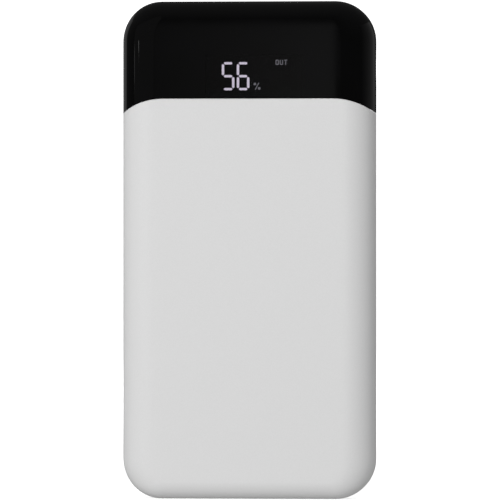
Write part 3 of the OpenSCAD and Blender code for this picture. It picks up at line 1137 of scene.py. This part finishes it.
@dataclass
class PowerButton:
    """Button that lies flush in the side of the hood, with a shallow finger dish.

    Attributes:
        form: Shared body form.
        size: Length and width of its cap.
        base_x: Where the cap rises from its flange.
        flange: Thickness of the flange and how far it reaches past the cap.
        post: Low and high corner of the post that meets the switch.
        dish: Depth and radius of the finger dish.
    """

    form: CaseForm
    size: Pair = (11, 3.6)
    base_x: float = 33.3
    flange: Pair = (0.8, 1.1)
    post: tuple[Triple, Triple] = ((31.15, -2.15, 120.8), (32.6, -0.15, 123.8))
    dish: Pair = (0.22, 16)

    def build(self) -> Workpiece:
        """Models the button and puts it in place."""
        low, high = corners("power_button")
        thick, reach = self.flange
        long, short = self.size
        z = (low.z + high.z) / 2
        start = (self.base_x, 0, z)
        work = self.form.slot_cutter(long, short, start, Axis.X, 5).meet(self.form.solid(0.02))
        work.tidy(0.02).soften(0.2, 3)
        depth, radius = self.dish
        middle = (high.x + radius - depth, -5, z)
        work.cut(Workpiece.round_bar("dish", radius, middle, 10, Axis.Y, 180)).tidy()
        plate = (self.base_x - thick, 0, z)
        size = (long + 2 * reach, short + 2 * reach)
        work.join(self.form.slot_cutter(*size, plate, Axis.X, thick + 0.05))
        work.join(Workpiece.block("post", *self.post))
        work.obj.name = "power_button_cap"
        return work.polish().place("power_button", body=Body.BUTTON)


@dataclass
class DisplaySigns:
    """Lit figures and signs, drawn a little slimmer than the bars' light wells.

    Attributes:
        slimmer: How far each node's faces are drawn in, in mm.
    """

    slimmer: tuple[tuple[str, float], ...] = (("lit_bars", 0.1), ("display_icons", 0.04))

    def build(self, nodes: dict[str, bpy.types.Object]) -> None:
        """Models the signs from their CAD nodes.

        Args:
            nodes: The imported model's objects by name.
        """
        for node, amount in self.slimmer:
            obj = bpy.data.objects.new(node.replace("_", "_slim_"), nodes[node].data.copy())
            bpy.context.scene.collection.objects.link(obj)
            work = Workpiece(obj).tidy(0.002)
            with work.editing():
                bpy.ops.mesh.select_all(action="SELECT")
                bpy.ops.transform.shrink_fatten(value=-amount * MM)
            work.polish().place(node)


# ---- Sockets ----


@dataclass
class WideSocket:
    """One of the two wide sockets: folded shell with spring fingers, tongue and contacts.

    Attributes:
        side: "left" or "right".
        wall: Thickness of the sheet.
        spring_x: Distance of each spring from the middle.
        window: Half the width of the opening round a spring, and how deep under the mouth
            it ends and starts.
        spring: The same for the spring itself.
        spring_thick: Thickness of a spring.
        bend: How far a spring leans inwards.
        base: Height of the tongue's base.
        blade: Half the width of the tongue, and its low and high y.
        contacts_x: Distance of each contact from the middle.
        contact: Half the width of a contact.
        wipe: Height of its bump, half the bump's length and how far it is past the middle.
        groove: Half the width, the lowest y and the length of the groove under a contact.
    """

    side: str
    wall: float = 0.35
    spring_x: float = 3.1
    window: Triple = (0.8, 7.8, 2.6)
    spring: Triple = (0.6, 7.85, 3.1)
    spring_thick: float = 0.22
    bend: float = 0.42
    base: float = 2.4
    blade: Triple = (5.55, -1.95, -0.15)
    contacts_x: tuple[float, ...] = (-3.5, -1, 1, 3.5)
    contact: float = 0.5
    wipe: Triple = (0.02, 1.3, 2)
    groove: Triple = (0.62, -0.27, 0.9)

    def shell(self) -> Workpiece:
        """Models the folded shell with its four springs."""
        low, high = corners("usb_a_shell_" + self.side)
        x = (low.x + high.x) / 2
        work = Workpiece.prism("usb_a_socket_" + self.side, low, high, Axis.Z, 0.6, 4)
        wall = Vector((self.wall, self.wall, 0))
        inner = low + wall + Vector((0, 0, self.wall)), high - wall + Vector((0, 0, 2))
        work.cut(Workpiece.prism("inner", *inner, Axis.Z, 0.3, 4))
        places = (x - self.spring_x, x + self.spring_x)
        half, deep, shallow = self.window
        for place in places:
            window = (place - half, -9, high.z - deep), (place + half, 9, high.z - shallow)
            work.cut(Workpiece.block("window", *window))
        work.tidy().soften(0.07, 2)
        springs = []
        half, deep, shallow = self.spring
        for place, sign in itertools.product(places, (-1, 1)):
            face = high.y if sign > 0 else low.y
            near, far = sorted((face, face - sign * self.spring_thick))
            ends = (place - half, near, high.z - deep), (place + half, far, high.z - shallow)
            spring = Workpiece.block("spring", *ends)
            springs.append(
                spring.push(Element.FACE, facing(Axis.Z, 1), (0, -sign * self.bend, 0))
            )
        work.gather(*springs)
        return work.polish().place("usb_a_shell_" + self.side)

    def tongue(self) -> Workpiece:
        """Models the tongue on its base, with a groove under each contact."""
        low, high = corners("usb_a_tongue_" + self.side)
        x = (low.x + high.x) / 2
        base_top = Vector((high.x, high.y, low.z + self.base))
        work = Workpiece.prism("usb_a_blade_" + self.side, low, base_top, Axis.Z, 0.3, 3)
        half, near, far = self.blade
        blade = (x - half, near, low.z + 1), (x + half, far, high.z)
        work.join(Workpiece.block("blade", *blade))
        half, near, long = self.groove
        for place in self.contacts_x:
            groove = (x + place - half, near, high.z - long), (x + place + half, 1, high.z + 1)
            work.cut(Workpiece.block("groove", *groove))
        work.tidy().ease(Axis.Z, 1, 0.25, 3)
        return work.polish().place("usb_a_tongue_" + self.side)

    def contacts(self) -> Workpiece:
        """Models the four contact strips, each with a raised wiping bump."""
        name = "usb_a_contacts_" + self.side
        low, high = corners(name)
        bump, reach, past = self.wipe
        middle_x, mid = (low.x + high.x) / 2, (low.z + high.z) / 2 + past

        def wiping(edge: Any) -> bool:
            """Says whether an edge crosses the strip's outer face at its bump."""
            _, y, z = edge.verts[0].co / MM
            return along(Axis.X)(edge) and y > high.y - 0.05 and abs(z - mid) < reach

        strips = []
        for place in self.contacts_x:
            x = middle_x + place
            ends = (x - self.contact, low.y, low.z), (x + self.contact, high.y - bump, high.z)
            strip = Workpiece.block("strip", *ends)
            with strip.editing():
                strip.pick(Element.EDGE, along(Axis.Z))
                bpy.ops.mesh.subdivide(number_cuts=7)
            strip.push(Element.EDGE, wiping, (0, bump, 0))
            strips.append(strip.soften(0.04, 1, 50))
        return Workpiece.bunch("usb_a_strips_" + self.side, strips).polish().place(name)

    def build(self) -> None:
        """Builds the three pieces of the socket."""
        self.shell()
        self.tongue()
        self.contacts()


@dataclass
class SlimSocket:
    """The slim socket in the middle: seamless shell, thin tongue and two rows of contacts.

    Attributes:
        form: Shared body form, for its slot bars.
        wall: Thickness of the shell.
        base: Height of the tongue's base.
        blade: Half the width and half the thickness of the tongue.
        contact: Width and thickness of a contact.
        count: Contacts on each side of the tongue.
        step: Distance from one contact to the next.
    """

    form: CaseForm
    wall: float = 0.3
    base: float = 1.2
    blade: Pair = (3.3, 0.35)
    contact: Pair = (0.24, 0.06)
    count: int = 12
    step: float = 0.5

    def build(self) -> None:
        """Builds the three pieces of the socket."""
        low, high = corners("usb_c_shell")
        wide, thick = high.x - low.x, high.y - low.y
        y = (low.y + high.y) / 2
        bar = self.form.slot_cutter
        shell = bar(wide, thick, (0, y, low.z), Axis.Z, high.z - low.z)
        inner = (wide - 2 * self.wall, thick - 2 * self.wall)
        shell.cut(bar(*inner, (0, y, low.z + self.wall), Axis.Z, 20))
        shell.obj.name = "usb_c_socket"
        shell.ease(Axis.Z, 1, 0.12, 2).polish().place("usb_c_shell")
        low, high = corners("usb_c_tongue")
        size = (high.x - low.x, high.y - low.y)
        tongue = bar(*size, (0, y, low.z), Axis.Z, self.base)
        half, side = self.blade
        ends = (-half, y - side, low.z + 1), (half, y + side, high.z)
        tongue.join(Workpiece.block("blade", *ends))
        tongue.obj.name = "usb_c_blade"
        tongue.tidy().ease(Axis.Z, 1, 0.15, 2).polish().place("usb_c_tongue")
        low, high = corners("usb_c_contacts")
        wide, thick = self.contact
        strips = []
        for bottom in (low.y, high.y - thick):
            ends = (low.x, bottom, low.z), (low.x + wide, bottom + thick, high.z)
            strip = Workpiece.block("strip", *ends).soften(0.02, 1)
            strips.append(strip.row(self.count, (self.step, 0, 0)))
        Workpiece.bunch("usb_c_strips", strips).polish().place("usb_c_contacts")


# ---- Circuit board ----


@dataclass
class MainBoard:
    """Circuit board with copper-lined screw holes and its four screws.

    Attributes:
        corner: Radius of the board's corners.
        holes: Where the screws go through, as x and z.
        bore: Radius of a hole.
        land: Radius of the bare copper round a hole.
        pitch: Pitch of the screws' thread.
    """

    corner: float = 4
    holes: tuple[Pair, ...] = ((-26, 113.8), (26, 113.8), (-26, 132), (26, 132))
    bore: float = 1.0
    land: float = 1.8
    pitch: float = 0.45

    def build(self) -> None:
        """Builds the board and its screws."""
        low, high = corners("main_board")
        work = Workpiece.prism("circuit_board", low, high, Axis.Y, self.corner)
        for x, z in self.holes:
            recess = Workpiece.round_bar("land", self.land, (x, low.y - 1, z), 1.02, Axis.Y, 32)
            work.cut(recess)
            work.cut(Workpiece.round_bar("hole", self.bore, (x, low.y - 1, z), 4, Axis.Y, 32))
        work.obj.name = "circuit_board"

        def copper(face: Any) -> int:
            """Says whether a face is bare copper."""
            x, y, z = face.center / MM
            near = any(math.hypot(x - a, z - b) < self.land * 0.99 for a, b in self.holes)
            return int(near and y < high.y - 0.001)

        work.paint([FINISHES["circuit_board"], BARE_COPPER], copper)
        work.polish().place("main_board")
        self.screws()

    def screws(self) -> None:
        """Models one screw on the lathe, and puts four in place."""
        low, high = corners("board_screws")
        length = high.y - low.y
        outline = [(1.15, 0), (1.4, 0.12), (1.5, 0.35), (1.5, 0.9), (0.8, 0.9), (0.8, 2.3)]
        rise = 2.3
        while rise + self.pitch < length - 0.8:
            outline += [(0.62, rise + self.pitch / 2), (0.8, rise + self.pitch)]
            rise += self.pitch
        outline += [(0.62, rise + 0.2), (0.35, length)]
        x, z = self.holes[0]
        first = Workpiece.turned("board_screw", outline, (x, low.y, z), Axis.Y, 28)
        for wide, tall in ((0.9, 0.19), (0.19, 0.9)):
            slot = (x - wide, low.y - 1, z - tall), (x + wide, low.y + 0.5, z + tall)
            first.cut(Workpiece.block("recess", *slot))
        others = [
            first.twin("screw", (other_x - x, 0, other_z - z))
            for other_x, other_z in self.holes[1:]
        ]
        first.gather(*others).polish(30).place("board_screws")


@dataclass
class BoardParts:
    """Parts soldered to the back of the circuit board, from the seat outwards.

    A box is the x and z of a part's middle, its width, its height and its thickness.

    Attributes:
        seat: Height along y at which they stand.
        chips: Name, node, legs on each side and boxes of each kind of chip.
        cans: Middles of the polymer capacitors, as x and z.
        can: Outline of one polymer capacitor, as radius and height of each step.
        rows: Name, node, finish and rows of each kind of small part. A row is its first box,
            the step to the next part as x and z, their number and the way their caps look.
        reach: Length of a chip's legs, from its body.
        gap: Room under a chip's body.
        band: Height of the inductor's base, under its waist.
        well: Radius of the round mark on the inductor.
    """

    seat: float = -2.98
    chips: tuple[tuple[str, str, int, tuple[Box, ...]], ...] = (
        ("charge_controller", "charge_chip", 8, ((3.2, 120.4, 7.6, 7.6, 1),)),
        ("display_controller", "control_chip", 4, ((12.6, 121.6, 4.9, 3.9, 1.4),)),
        (
            "power_transistor",
            "power_transistors",
            4,
            ((-19, 116.2, 5, 4.4, 1.1), (-19, 121.6, 5, 4.4, 1.1)),
        ),
    )
    cans: tuple[Pair, ...] = ((20.2, 116), (20.2, 121.6))
    can: tuple[Pair, ...] = (
        *((2.5, 0), (2.5, 0.6), (2.3, 0.85), (2.3, 1.1), (2.5, 1.35), (2.5, 5.75)),
        *((2.42, 6.05), (2.2, 6.2), (1.95, 6.2), (1.9, 6.08)),
    )
    rows: tuple[tuple[str, str, str, tuple[tuple[Box, Pair, int, Axis], ...]], ...] = (
        (
            "ceramic_blocks",
            "ceramic_capacitors",
            "ceramic_tan",
            (
                ((6.2, 113.2, 1.6, 3.2, 1.3), (2.4, 0), 5, Axis.Z),
                ((-24.6, 118.6, 2, 1.3, 1), (0, 2.2), 4, Axis.X),
            ),
        ),
        (
            "resistors",
            "small_resistors",
            "chip_black",
            (
                ((8.6, 118, 1.6, 0.8, 0.5), (0, 1.5), 5, Axis.X),
                ((16.3, 119, 1.6, 0.8, 0.5), (0, 1.6), 4, Axis.X),
            ),
        ),
    )
    reach: float = 0.5
    gap: float = 0.08
    band: float = 0.9
    well: float = 3.1

    def box(
        self, x: float, z: float, wide: float, tall: float, thick: float
    ) -> tuple[Triple, Triple]:
        """Returns the corners of a part from its middle and its size."""
        low = (x - wide / 2, self.seat, z - tall / 2)
        return low, (x + wide / 2, self.seat + thick, z + tall / 2)

    def chip(self, name: str, low: Triple, high: Triple, legs: int) -> Workpiece:
        """Models a moulded chip with legs along its two upright sides.

        Args:
            name: Name of the object.
            low: Lowest corner of the chip with its legs, in mm.
            high: Highest corner in mm.
            legs: Number of legs on each side.

        Returns:
            The chip, with tin legs and a dot at its first leg.
        """
        reach, thick = self.reach, high[1] - low[1]
        ends = (low[0] + reach, low[1] + self.gap, low[2]), (high[0] - reach, high[1], high[2])
        body = Workpiece.block(name, *ends).soften(0.08, 2)
        dot = (low[0] + reach + 0.7, high[1] - 0.06, high[2] - 0.7)
        body.cut(Workpiece.round_bar("dot", 0.26, dot, 1, Axis.Y, 20))
        pitch = (high[2] - low[2]) / legs
        wide = pitch * 0.45
        start = low[2] + (pitch - wide) / 2
        for outer, inner in ((low[0], low[0] + reach), (high[0], high[0] - reach)):
            near, far = sorted((outer, inner + (inner - outer) * 0.2))
            ends = (near, low[1], start), (far, low[1] + thick * 0.45, start + wide)
            sign = 1 if outer > inner else -1

            def shoulder(edge: Any) -> bool:
                """Says whether an edge is the upper outer one of the leg."""
                raised = all(vert.co.y / MM > low[1] + thick * 0.2 for vert in edge.verts)
                out = (edge.verts[0].co.x / MM - (outer + inner) / 2) * sign > 0
                return along(Axis.Z)(edge) and raised and out

            leg = Workpiece.block("leg", *ends)
            leg.push(Element.EDGE, shoulder, (0, -thick * 0.3, 0))
            body.gather(leg.row(legs, (0, 0, pitch)))
        edges = (low[0] + reach * 0.98, high[0] - reach * 0.98)
        return body.paint(
            [FINISHES["chip_black"], FINISHES["solder"]],
            lambda face: int(not edges[0] < face.center.x / MM < edges[1]),
        )

    def capped(self, low: Triple, high: Triple, axis: Axis, slot: str) -> Workpiece:
        """Models a small part with a plated cap on each end.

        Args:
            low: Lowest corner in mm.
            high: Highest corner in mm.
            axis: Direction from cap to cap.
            slot: Finish of its body.

        Returns:
            The part.
        """
        i = axis.value
        cap = (high[i] - low[i]) * 0.24
        bottom, top = Vector(low), Vector(high)
        inset = Vector((0.05, 0.05, 0.05))
        work = Workpiece.block("capped", bottom + inset, top - inset)
        for near, far in ((low[i], low[i] + cap), (high[i] - cap, high[i])):
            end_low, end_high = bottom.copy(), top.copy()
            end_low[i], end_high[i] = near, far
            work.join(Workpiece.block("cap", end_low, end_high))
        edges = (low[i] + cap * 1.02, high[i] - cap * 1.02)
        return work.soften(0.06, 2).paint(
            [FINISHES[slot], FINISHES["solder"]],
            lambda face: int(not edges[0] < face.center[i] / MM < edges[1]),
        )

    def inductor(self) -> None:
        """Builds the moulded coil that lifts the voltage."""
        low, high = corners("boost_inductor")
        work = Workpiece.prism("boost_coil", low, high, Axis.Y, 1.3, 3)
        band = Workpiece.block(
            "band", low - Vector((1, -self.band, 1)), high + Vector((1, -3.5, 1))
        )
        core_low, core_high = low + Vector((0.2, -1, 0.2)), high + Vector((-0.2, 1, -0.2))
        band.cut(Workpiece.prism("core", core_low, core_high, Axis.Y, 1.2, 3))
        work.cut(band)
        well = (low + high) / 2
        place = (well.x, high.y - 0.15, well.z)
        work.cut(Workpiece.round_bar("well", self.well, place, 1, Axis.Y, 48))
        work.obj.name = "boost_coil"
        work.soften(0.12, 2)

        def plated(face: Any) -> int:
            """Says whether a face belongs to one of the plated feet."""
            _, y, z = face.center / MM
            return int(y < low.y + self.band - 0.01 and abs(z - well.z) < 2.2)

        work.paint([FINISHES["ferrite"], FINISHES["solder"]], plated)
        work.polish().place("boost_inductor")

    def build(self) -> None:
        """Builds every part."""
        for name, node, legs, boxes in self.chips:
            made = [self.chip(name, *self.box(*box), legs) for box in boxes]
            Workpiece.bunch(name, made).polish().place(node)
        self.inductor()
        made = [
            Workpiece.turned("polymer_can", self.can, (x, self.seat, z), Axis.Y)
            for x, z in self.cans
        ]
        cans = Workpiece.bunch("polymer_can", made)
        mark = [FINISHES["can_aluminium"], FINISHES["chip_black"]]
        cans.paint(mark, lambda face: int(face.center.y / MM < self.seat + 0.7))
        cans.polish(30).place("polymer_capacitors")
        for name, node, slot, rows in self.rows:
            made = [
                self.capped(*self.box(x + step_x * i, z + step_z * i, *size), axis, slot)
                for (x, z, *size), (step_x, step_z), count, axis in rows
                for i in range(count)
            ]
            Workpiece.bunch(name, made).polish().place(node)


@dataclass
class SwitchDome:
    """Domed metal disc under the plunger.

    Attributes:
        rim: Height of its flat rim.
        sheet: Thickness of the metal.
        keep: Share of its height that is left when pressed. Not used.
    """

    rim: float = 0.04
    sheet: float = 0.07
    keep: float = 0.5

    def cap(self, name: str, radius: float, height: float, start: Triple) -> Workpiece:
        """Turns one closed cap of the dome's shape."""
        outline = [(radius, 0), (radius, self.rim)]
        for step in range(1, 9):
            turn = math.radians(step * 10.5)
            rise = self.rim + (height - self.rim) * math.sin(turn) / math.sin(math.radians(84))
            outline.append((radius * (1 - 0.94 * step / 8) ** 0.6, rise))
        return Workpiece.turned(name, outline, start, Axis.X, 36)

    def build(self) -> Workpiece:
        """Models the dome and puts it in place."""
        low, high = corners("switch_dome")
        y, z = (low.y + high.y) / 2, (low.z + high.z) / 2
        radius, height = (high.z - low.z) / 2, high.x - low.x
        work = self.cap("dome_disc", radius, height, (low.x, y, z))
        hollow = (low.x - 0.001, y, z)
        work.cut(self.cap("hollow", radius - self.sheet, height - self.sheet, hollow))
        work.obj.name = "dome_disc"
        work.polish(50).place("switch_dome")
        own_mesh(work.obj)
        return work


# ---- Battery ----


@dataclass
class BatteryPack:
    """Two pouch cells back to back, and the foam that holds each against its shell.

    Attributes:
        corner: Radius of a pouch's soft edges.
        terrace: Height at which the flat sealed end starts.
        seam: Thickness of the folded side seams.
        swell: How far the foam bulges in the middle of its sides.
    """

    corner: float = 1.6
    terrace: float = 103
    seam: float = 0.28
    swell: float = 0.35

    def cell(self, name: str) -> Workpiece:
        """Models one pouch cell with its folded seams and its sealed end."""
        low, high = corners(name)
        inset = Vector((self.seam, 0, 0))
        top = Vector((high.x, high.y, self.terrace))
        work = Workpiece.block(name.replace("cell", "pouch"), low + inset, top - inset)
        work.soften(self.corner, 5)
        middle_y = (low.y + high.y) / 2
        for ends in ((low.x, low.x + 2), (high.x - 2, high.x)):
            seam = (ends[0], middle_y - 2.3, low.z + 2.5), (ends[1], middle_y + 2.3, top.z - 2.5)
            work.join(Workpiece.block("seam", *seam).soften(0.12, 2))
        sealed = (-27, middle_y - 0.3, self.terrace - 1), (27, middle_y + 0.3, high.z)
        work.join(Workpiece.block("sealed_end", *sealed).soften(0.1, 2))
        work.obj.name = name.replace("cell", "pouch")
        return work.tidy().polish().place(name)

    def foam(self, name: str) -> Workpiece:
        """Models one foam pad with soft edges and slightly bulging sides."""
        low, high = corners(name)
        bulge = Vector((self.swell, 0, self.swell))
        work = Workpiece.block(name.replace("foam", "pad"), low + bulge, high - bulge)
        with work.editing():
            work.pick(Element.EDGE, along(Axis.X))
            bpy.ops.mesh.subdivide(number_cuts=11)
            work.pick(Element.EDGE, along(Axis.Z))
            bpy.ops.mesh.subdivide(number_cuts=11)
            work.pick(Element.EDGE, along(Axis.Y))
            bpy.ops.mesh.subdivide(number_cuts=1)
        middle_y = (low.y + high.y) / 2
        for sign in (-1, 1):
            for axis in (Axis.X, Axis.Z):
                shift = Vector()
                shift[axis.value] = sign * self.swell
                limit = (low if sign < 0 else high) - bulge * sign
                work.push(
                    Element.VERT,
                    lambda vert, i=axis.value, limit=limit: abs(vert.co.y / MM - middle_y) < 0.01
                    and abs(vert.co[i] / MM - limit[i]) < 0.01,
                    shift,
                )
        work.ease(Axis.Y, 1, 0.15, 2).ease(Axis.Y, -1, 0.15, 2)
        work.polish(60).place(name)
        return work

    def build(self) -> None:
        """Builds both cells and both pads."""
        for side in ("front", "back"):
            self.cell(side + "_cell")
            self.foam(side + "_foam")


# ---- Studio ----


@dataclass(frozen=True)
class Lamp:
    """Soft square light, which only lights and isn't seen in gloss.

    Attributes:
        name: Name of the light.
        place: Where it hangs, in metres.
        size: Its side in metres.
        power: Its power in watts.
    """

    name: str
    place: Triple
    size: float
    power: float

    def hang(self, target: Triple) -> None:
        """Hangs the light so that it shines at a point.

        Args:
            target: The point, in metres.
        """
        lamp = bpy.data.lights.new(self.name, "AREA")
        lamp.shape = "RECTANGLE"
        lamp.size = lamp.size_y = self.size
        lamp.energy = self.power
        obj = bpy.data.objects.new(self.name, lamp)
        bpy.context.scene.collection.objects.link(obj)
        obj.location = self.place
        towards = Vector(target) - Vector(self.place)
        obj.rotation_euler = towards.to_track_quat("-Z", "Y").to_euler()
        obj.visible_camera = obj.visible_glossy = False


@dataclass(frozen=True)
class Card:
    """Plain upright card that shows only in gloss, with a glow that grades across it.

    Attributes:
        name: Name of the card.
        azimuth: Where its middle stands, in degrees from the front, to the right.
        distance: Distance from the upright axis in metres.
        size: Its width and height in metres.
        glow: Its brightness at its left and right ends, seen from the axis.
        height: Height of its middle in metres.
    """

    name: str
    azimuth: float
    distance: float
    size: Pair
    glow: Pair
    height: float = 0.0705

    def stand(self) -> None:
        """Stands the card up in the room."""
        turn = math.radians(self.azimuth)
        deselect_all()
        bpy.ops.mesh.primitive_plane_add(size=1, rotation=(math.pi / 2, 0, 0))
        obj = Workpiece.fresh(self.name).obj
        obj.scale = (self.size[0], 1, self.size[1])
        across, deep = math.sin(turn) * self.distance, -math.cos(turn) * self.distance
        obj.location = (across, deep, self.height)
        obj.rotation_euler = (0, 0, turn)
        paint = bpy.data.materials.new(self.name)
        paint.use_nodes = True
        tree = paint.node_tree
        tree.nodes.clear()
        place = add_node(tree, "TexCoord").outputs["Object"]
        split = add_node(tree, "SeparateXYZ", {"Vector": place})
        grade = ranged(tree, split.outputs["X"], (0.5, -0.5), self.glow)
        shine = add_node(tree, "Emission", {"Strength": grade})
        add_node(tree, "OutputMaterial", {"Surface": shine.outputs["Emission"]})
        obj.data.materials.append(paint)
        obj.visible_camera = obj.visible_diffuse = obj.visible_shadow = False


LAMPS = (
    Lamp("key", (-0.5, -1.2, 0.47), 0.5, 10.1),
    Lamp("left", (-1.2, 0.7, 0.3), 0.5, 0.7),
    Lamp("fill", (0.5, -0.5, -0.65), 0.4, 0.5),
    Lamp("back", (0.35, 1.35, 0.5), 0.6, 9),
)
CARDS = (
    Card("front_card", -4.8, 0.5, (0.082, 0.1), (0.17, 0.06), 0.107),
    Card("left_front_card", -42, 1.3, (1.7, 1.2), (0.09, 0.09)),
    Card("left_card", -133, 1.2, (0.65, 1.2), (0.25, 0.25)),
    Card("low_streak_card", -75, 1.2, (0.03, 0.02), (0.85, 0.85), 0.168),
    Card("high_streak_card", -58, 1.2, (0.03, 0.012), (2.3, 2.3), 0.1815),
    Card("right_card", 105, 1.2, (1.9, 1.2), (0.24, 0.04)),
)


@dataclass
class Studio:
    """Plain pale room with soft lights and the camera.

    Attributes:
        yaw: How far the camera stands round from the front, in degrees.
        distance: Distance from the camera to the middle of the object, in metres.
        lens: Focal length in mm.
        clip: Nearest and farthest distance that the camera sees, in metres.
        paper: Own brightness of the floor, under the object and far from it.
        paper_reach: Distance at which the floor has the second brightness, in metres.
        paper_colour: Colour of the floor.
        soft_air: Brightness of the room's air on matte surfaces.
        gloss_air: Its brightness in gloss, at the horizon and overhead.
        target: Point that the camera looks at.
        room_size: Radius and height of the room, in metres.
        cove: Radius of the curve from the floor to the wall, in metres.
    """

    yaw: float = 4
    distance: float = 1.4
    lens: float = 354.6
    clip: Pair = (0.05, 20)
    paper: Pair = (0.56, 1.0)
    paper_reach: float = 0.8
    paper_colour: Triple = (0.85, 0.85, 0.85)
    soft_air: float = 0.39
    gloss_air: Pair = (0.04, 0.1)
    target: Triple = (0.00007, 0, 0.0705)
    room_size: Pair = (3.6, 5)
    cove: float = 2.2

    def air(self) -> None:
        """Fills the room with soft light that is dimmer in gloss than on matte surfaces."""
        world = bpy.data.worlds.new("soft_air")
        world.use_nodes = True
        tree = world.node_tree
        place = add_node(tree, "TexCoord").outputs["Generated"]
        split = add_node(tree, "SeparateXYZ", {"Vector": place})
        rise = ranged(tree, split.outputs["Z"], to=self.gloss_air)
        glossy = add_node(tree, "LightPath").outputs["Is Glossy Ray"]
        level = ranged(tree, glossy, to=(self.soft_air, rise))
        fill(tree.nodes["Background"], {"Color": (1, 1, 1, 1), "Strength": level})
        bpy.context.scene.world = world

    def room(self) -> None:
        """Makes the floor, which curves up into a round backdrop."""
        radius, height = self.room_size
        deselect_all()
        bpy.ops.mesh.primitive_cylinder_add(
            vertices=96,
            radius=radius,
            depth=height,
            location=(0, 0, height / 2),
            end_fill_type="NGON",
        )
        work = Workpiece.fresh("floor")
        with work.editing():
            work.pick(Element.FACE, facing(Axis.Z, 1))
            bpy.ops.mesh.delete(type="FACE")
            work.pick(Element.EDGE, lambda edge: all(v.co.z < TINY for v in edge.verts))
            bpy.ops.mesh.bevel(offset=self.cove, segments=16, affect="EDGES")
            bpy.ops.mesh.select_all(action="SELECT")
            bpy.ops.mesh.normals_make_consistent(inside=True)
        obj = work.polish(60).obj
        obj.data.materials.append(self.floor_paper())
        obj.visible_glossy = obj.visible_diffuse = obj.visible_transmission = False
        obj.visible_shadow = False

    def floor_paper(self) -> bpy.types.Material:
        """Makes the matte floor's material, with a glow that grows outwards.

        Returns:
            The material.
        """
        paper = bpy.data.materials.new("floor_paper")
        paper.use_nodes = True
        tree = paper.node_tree
        place = add_node(tree, "TexCoord").outputs["Object"]
        reach = add_node(tree, "VectorMath")
        reach.operation = "LENGTH"
        fill(reach, {"Vector": place})
        level = ranged(tree, reach.outputs["Value"], (0, self.paper_reach), self.paper)
        inputs = {
            "Base Color": (*self.paper_colour, 1),
            "Roughness": 0.9,
            "Specular IOR Level": 0,
            "Emission Color": (1, 1, 1, 1),
            "Emission Strength": level,
        }
        fill(tree.nodes["Principled BSDF"], inputs)
        return paper

    def camera(self) -> None:
        """Sets up the camera in front of the object."""
        obj = bpy.data.objects.new("camera", bpy.data.cameras.new("camera"))
        bpy.context.scene.collection.objects.link(obj)
        yaw = math.radians(self.yaw)
        target = Vector(self.target)
        obj.location = target + self.distance * Vector((math.sin(yaw), -math.cos(yaw), 0))
        obj.rotation_euler = (target - obj.location).to_track_quat("-Z", "Y").to_euler()
        obj.data.lens = self.lens
        obj.data.sensor_width = 36
        obj.data.clip_start, obj.data.clip_end = self.clip
        bpy.context.scene.camera = obj

    def build(self) -> None:
        """Sets up the room, the lights, the air and the camera."""
        self.room()
        bpy.context.scene.view_settings.view_transform = "Standard"
        self.air()
        for lamp in LAMPS:
            lamp.hang(self.target)
        for card in CARDS:
            card.stand()
        self.camera()


def clear_plain_materials() -> None:
    """Takes away the plain materials that came with the CAD nodes."""
    for plain in list(bpy.data.materials):
        bpy.data.materials.remove(plain)


def dress_cad(nodes: dict[str, bpy.types.Object]) -> None:
    """Gives every CAD node a finish.

    Args:
        nodes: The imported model's objects by name.
    """
    for name, obj in nodes.items():
        obj.data.materials.clear()
        obj.data.materials.append(FINISHES[SLOT_OF[name]].material())


def main() -> None:
    """Builds the power bank, its room and its camera."""
    logging.basicConfig(level=logging.INFO, format="%(name)s: %(message)s")
    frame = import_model()
    clear_plain_materials()
    for part in frame["record"]["subparts"]:
        SLOT_OF[part["node"]] = part["material_slot"]
    form = CaseForm()
    Hood(form).build()
    CaseShells(form).build()
    PortBezel(form).build()
    PowerButton(form).build()
    DisplaySigns().build(frame["nodes"])
    for piece in (
        WideSocket("left"),
        WideSocket("right"),
        SlimSocket(form),
        MainBoard(),
        BoardParts(),
        SwitchDome(),
        BatteryPack(),
    ):
        piece.build()
    dress_cad(frame["nodes"])
    Studio().build()


if __name__ == "__main__":
    main()
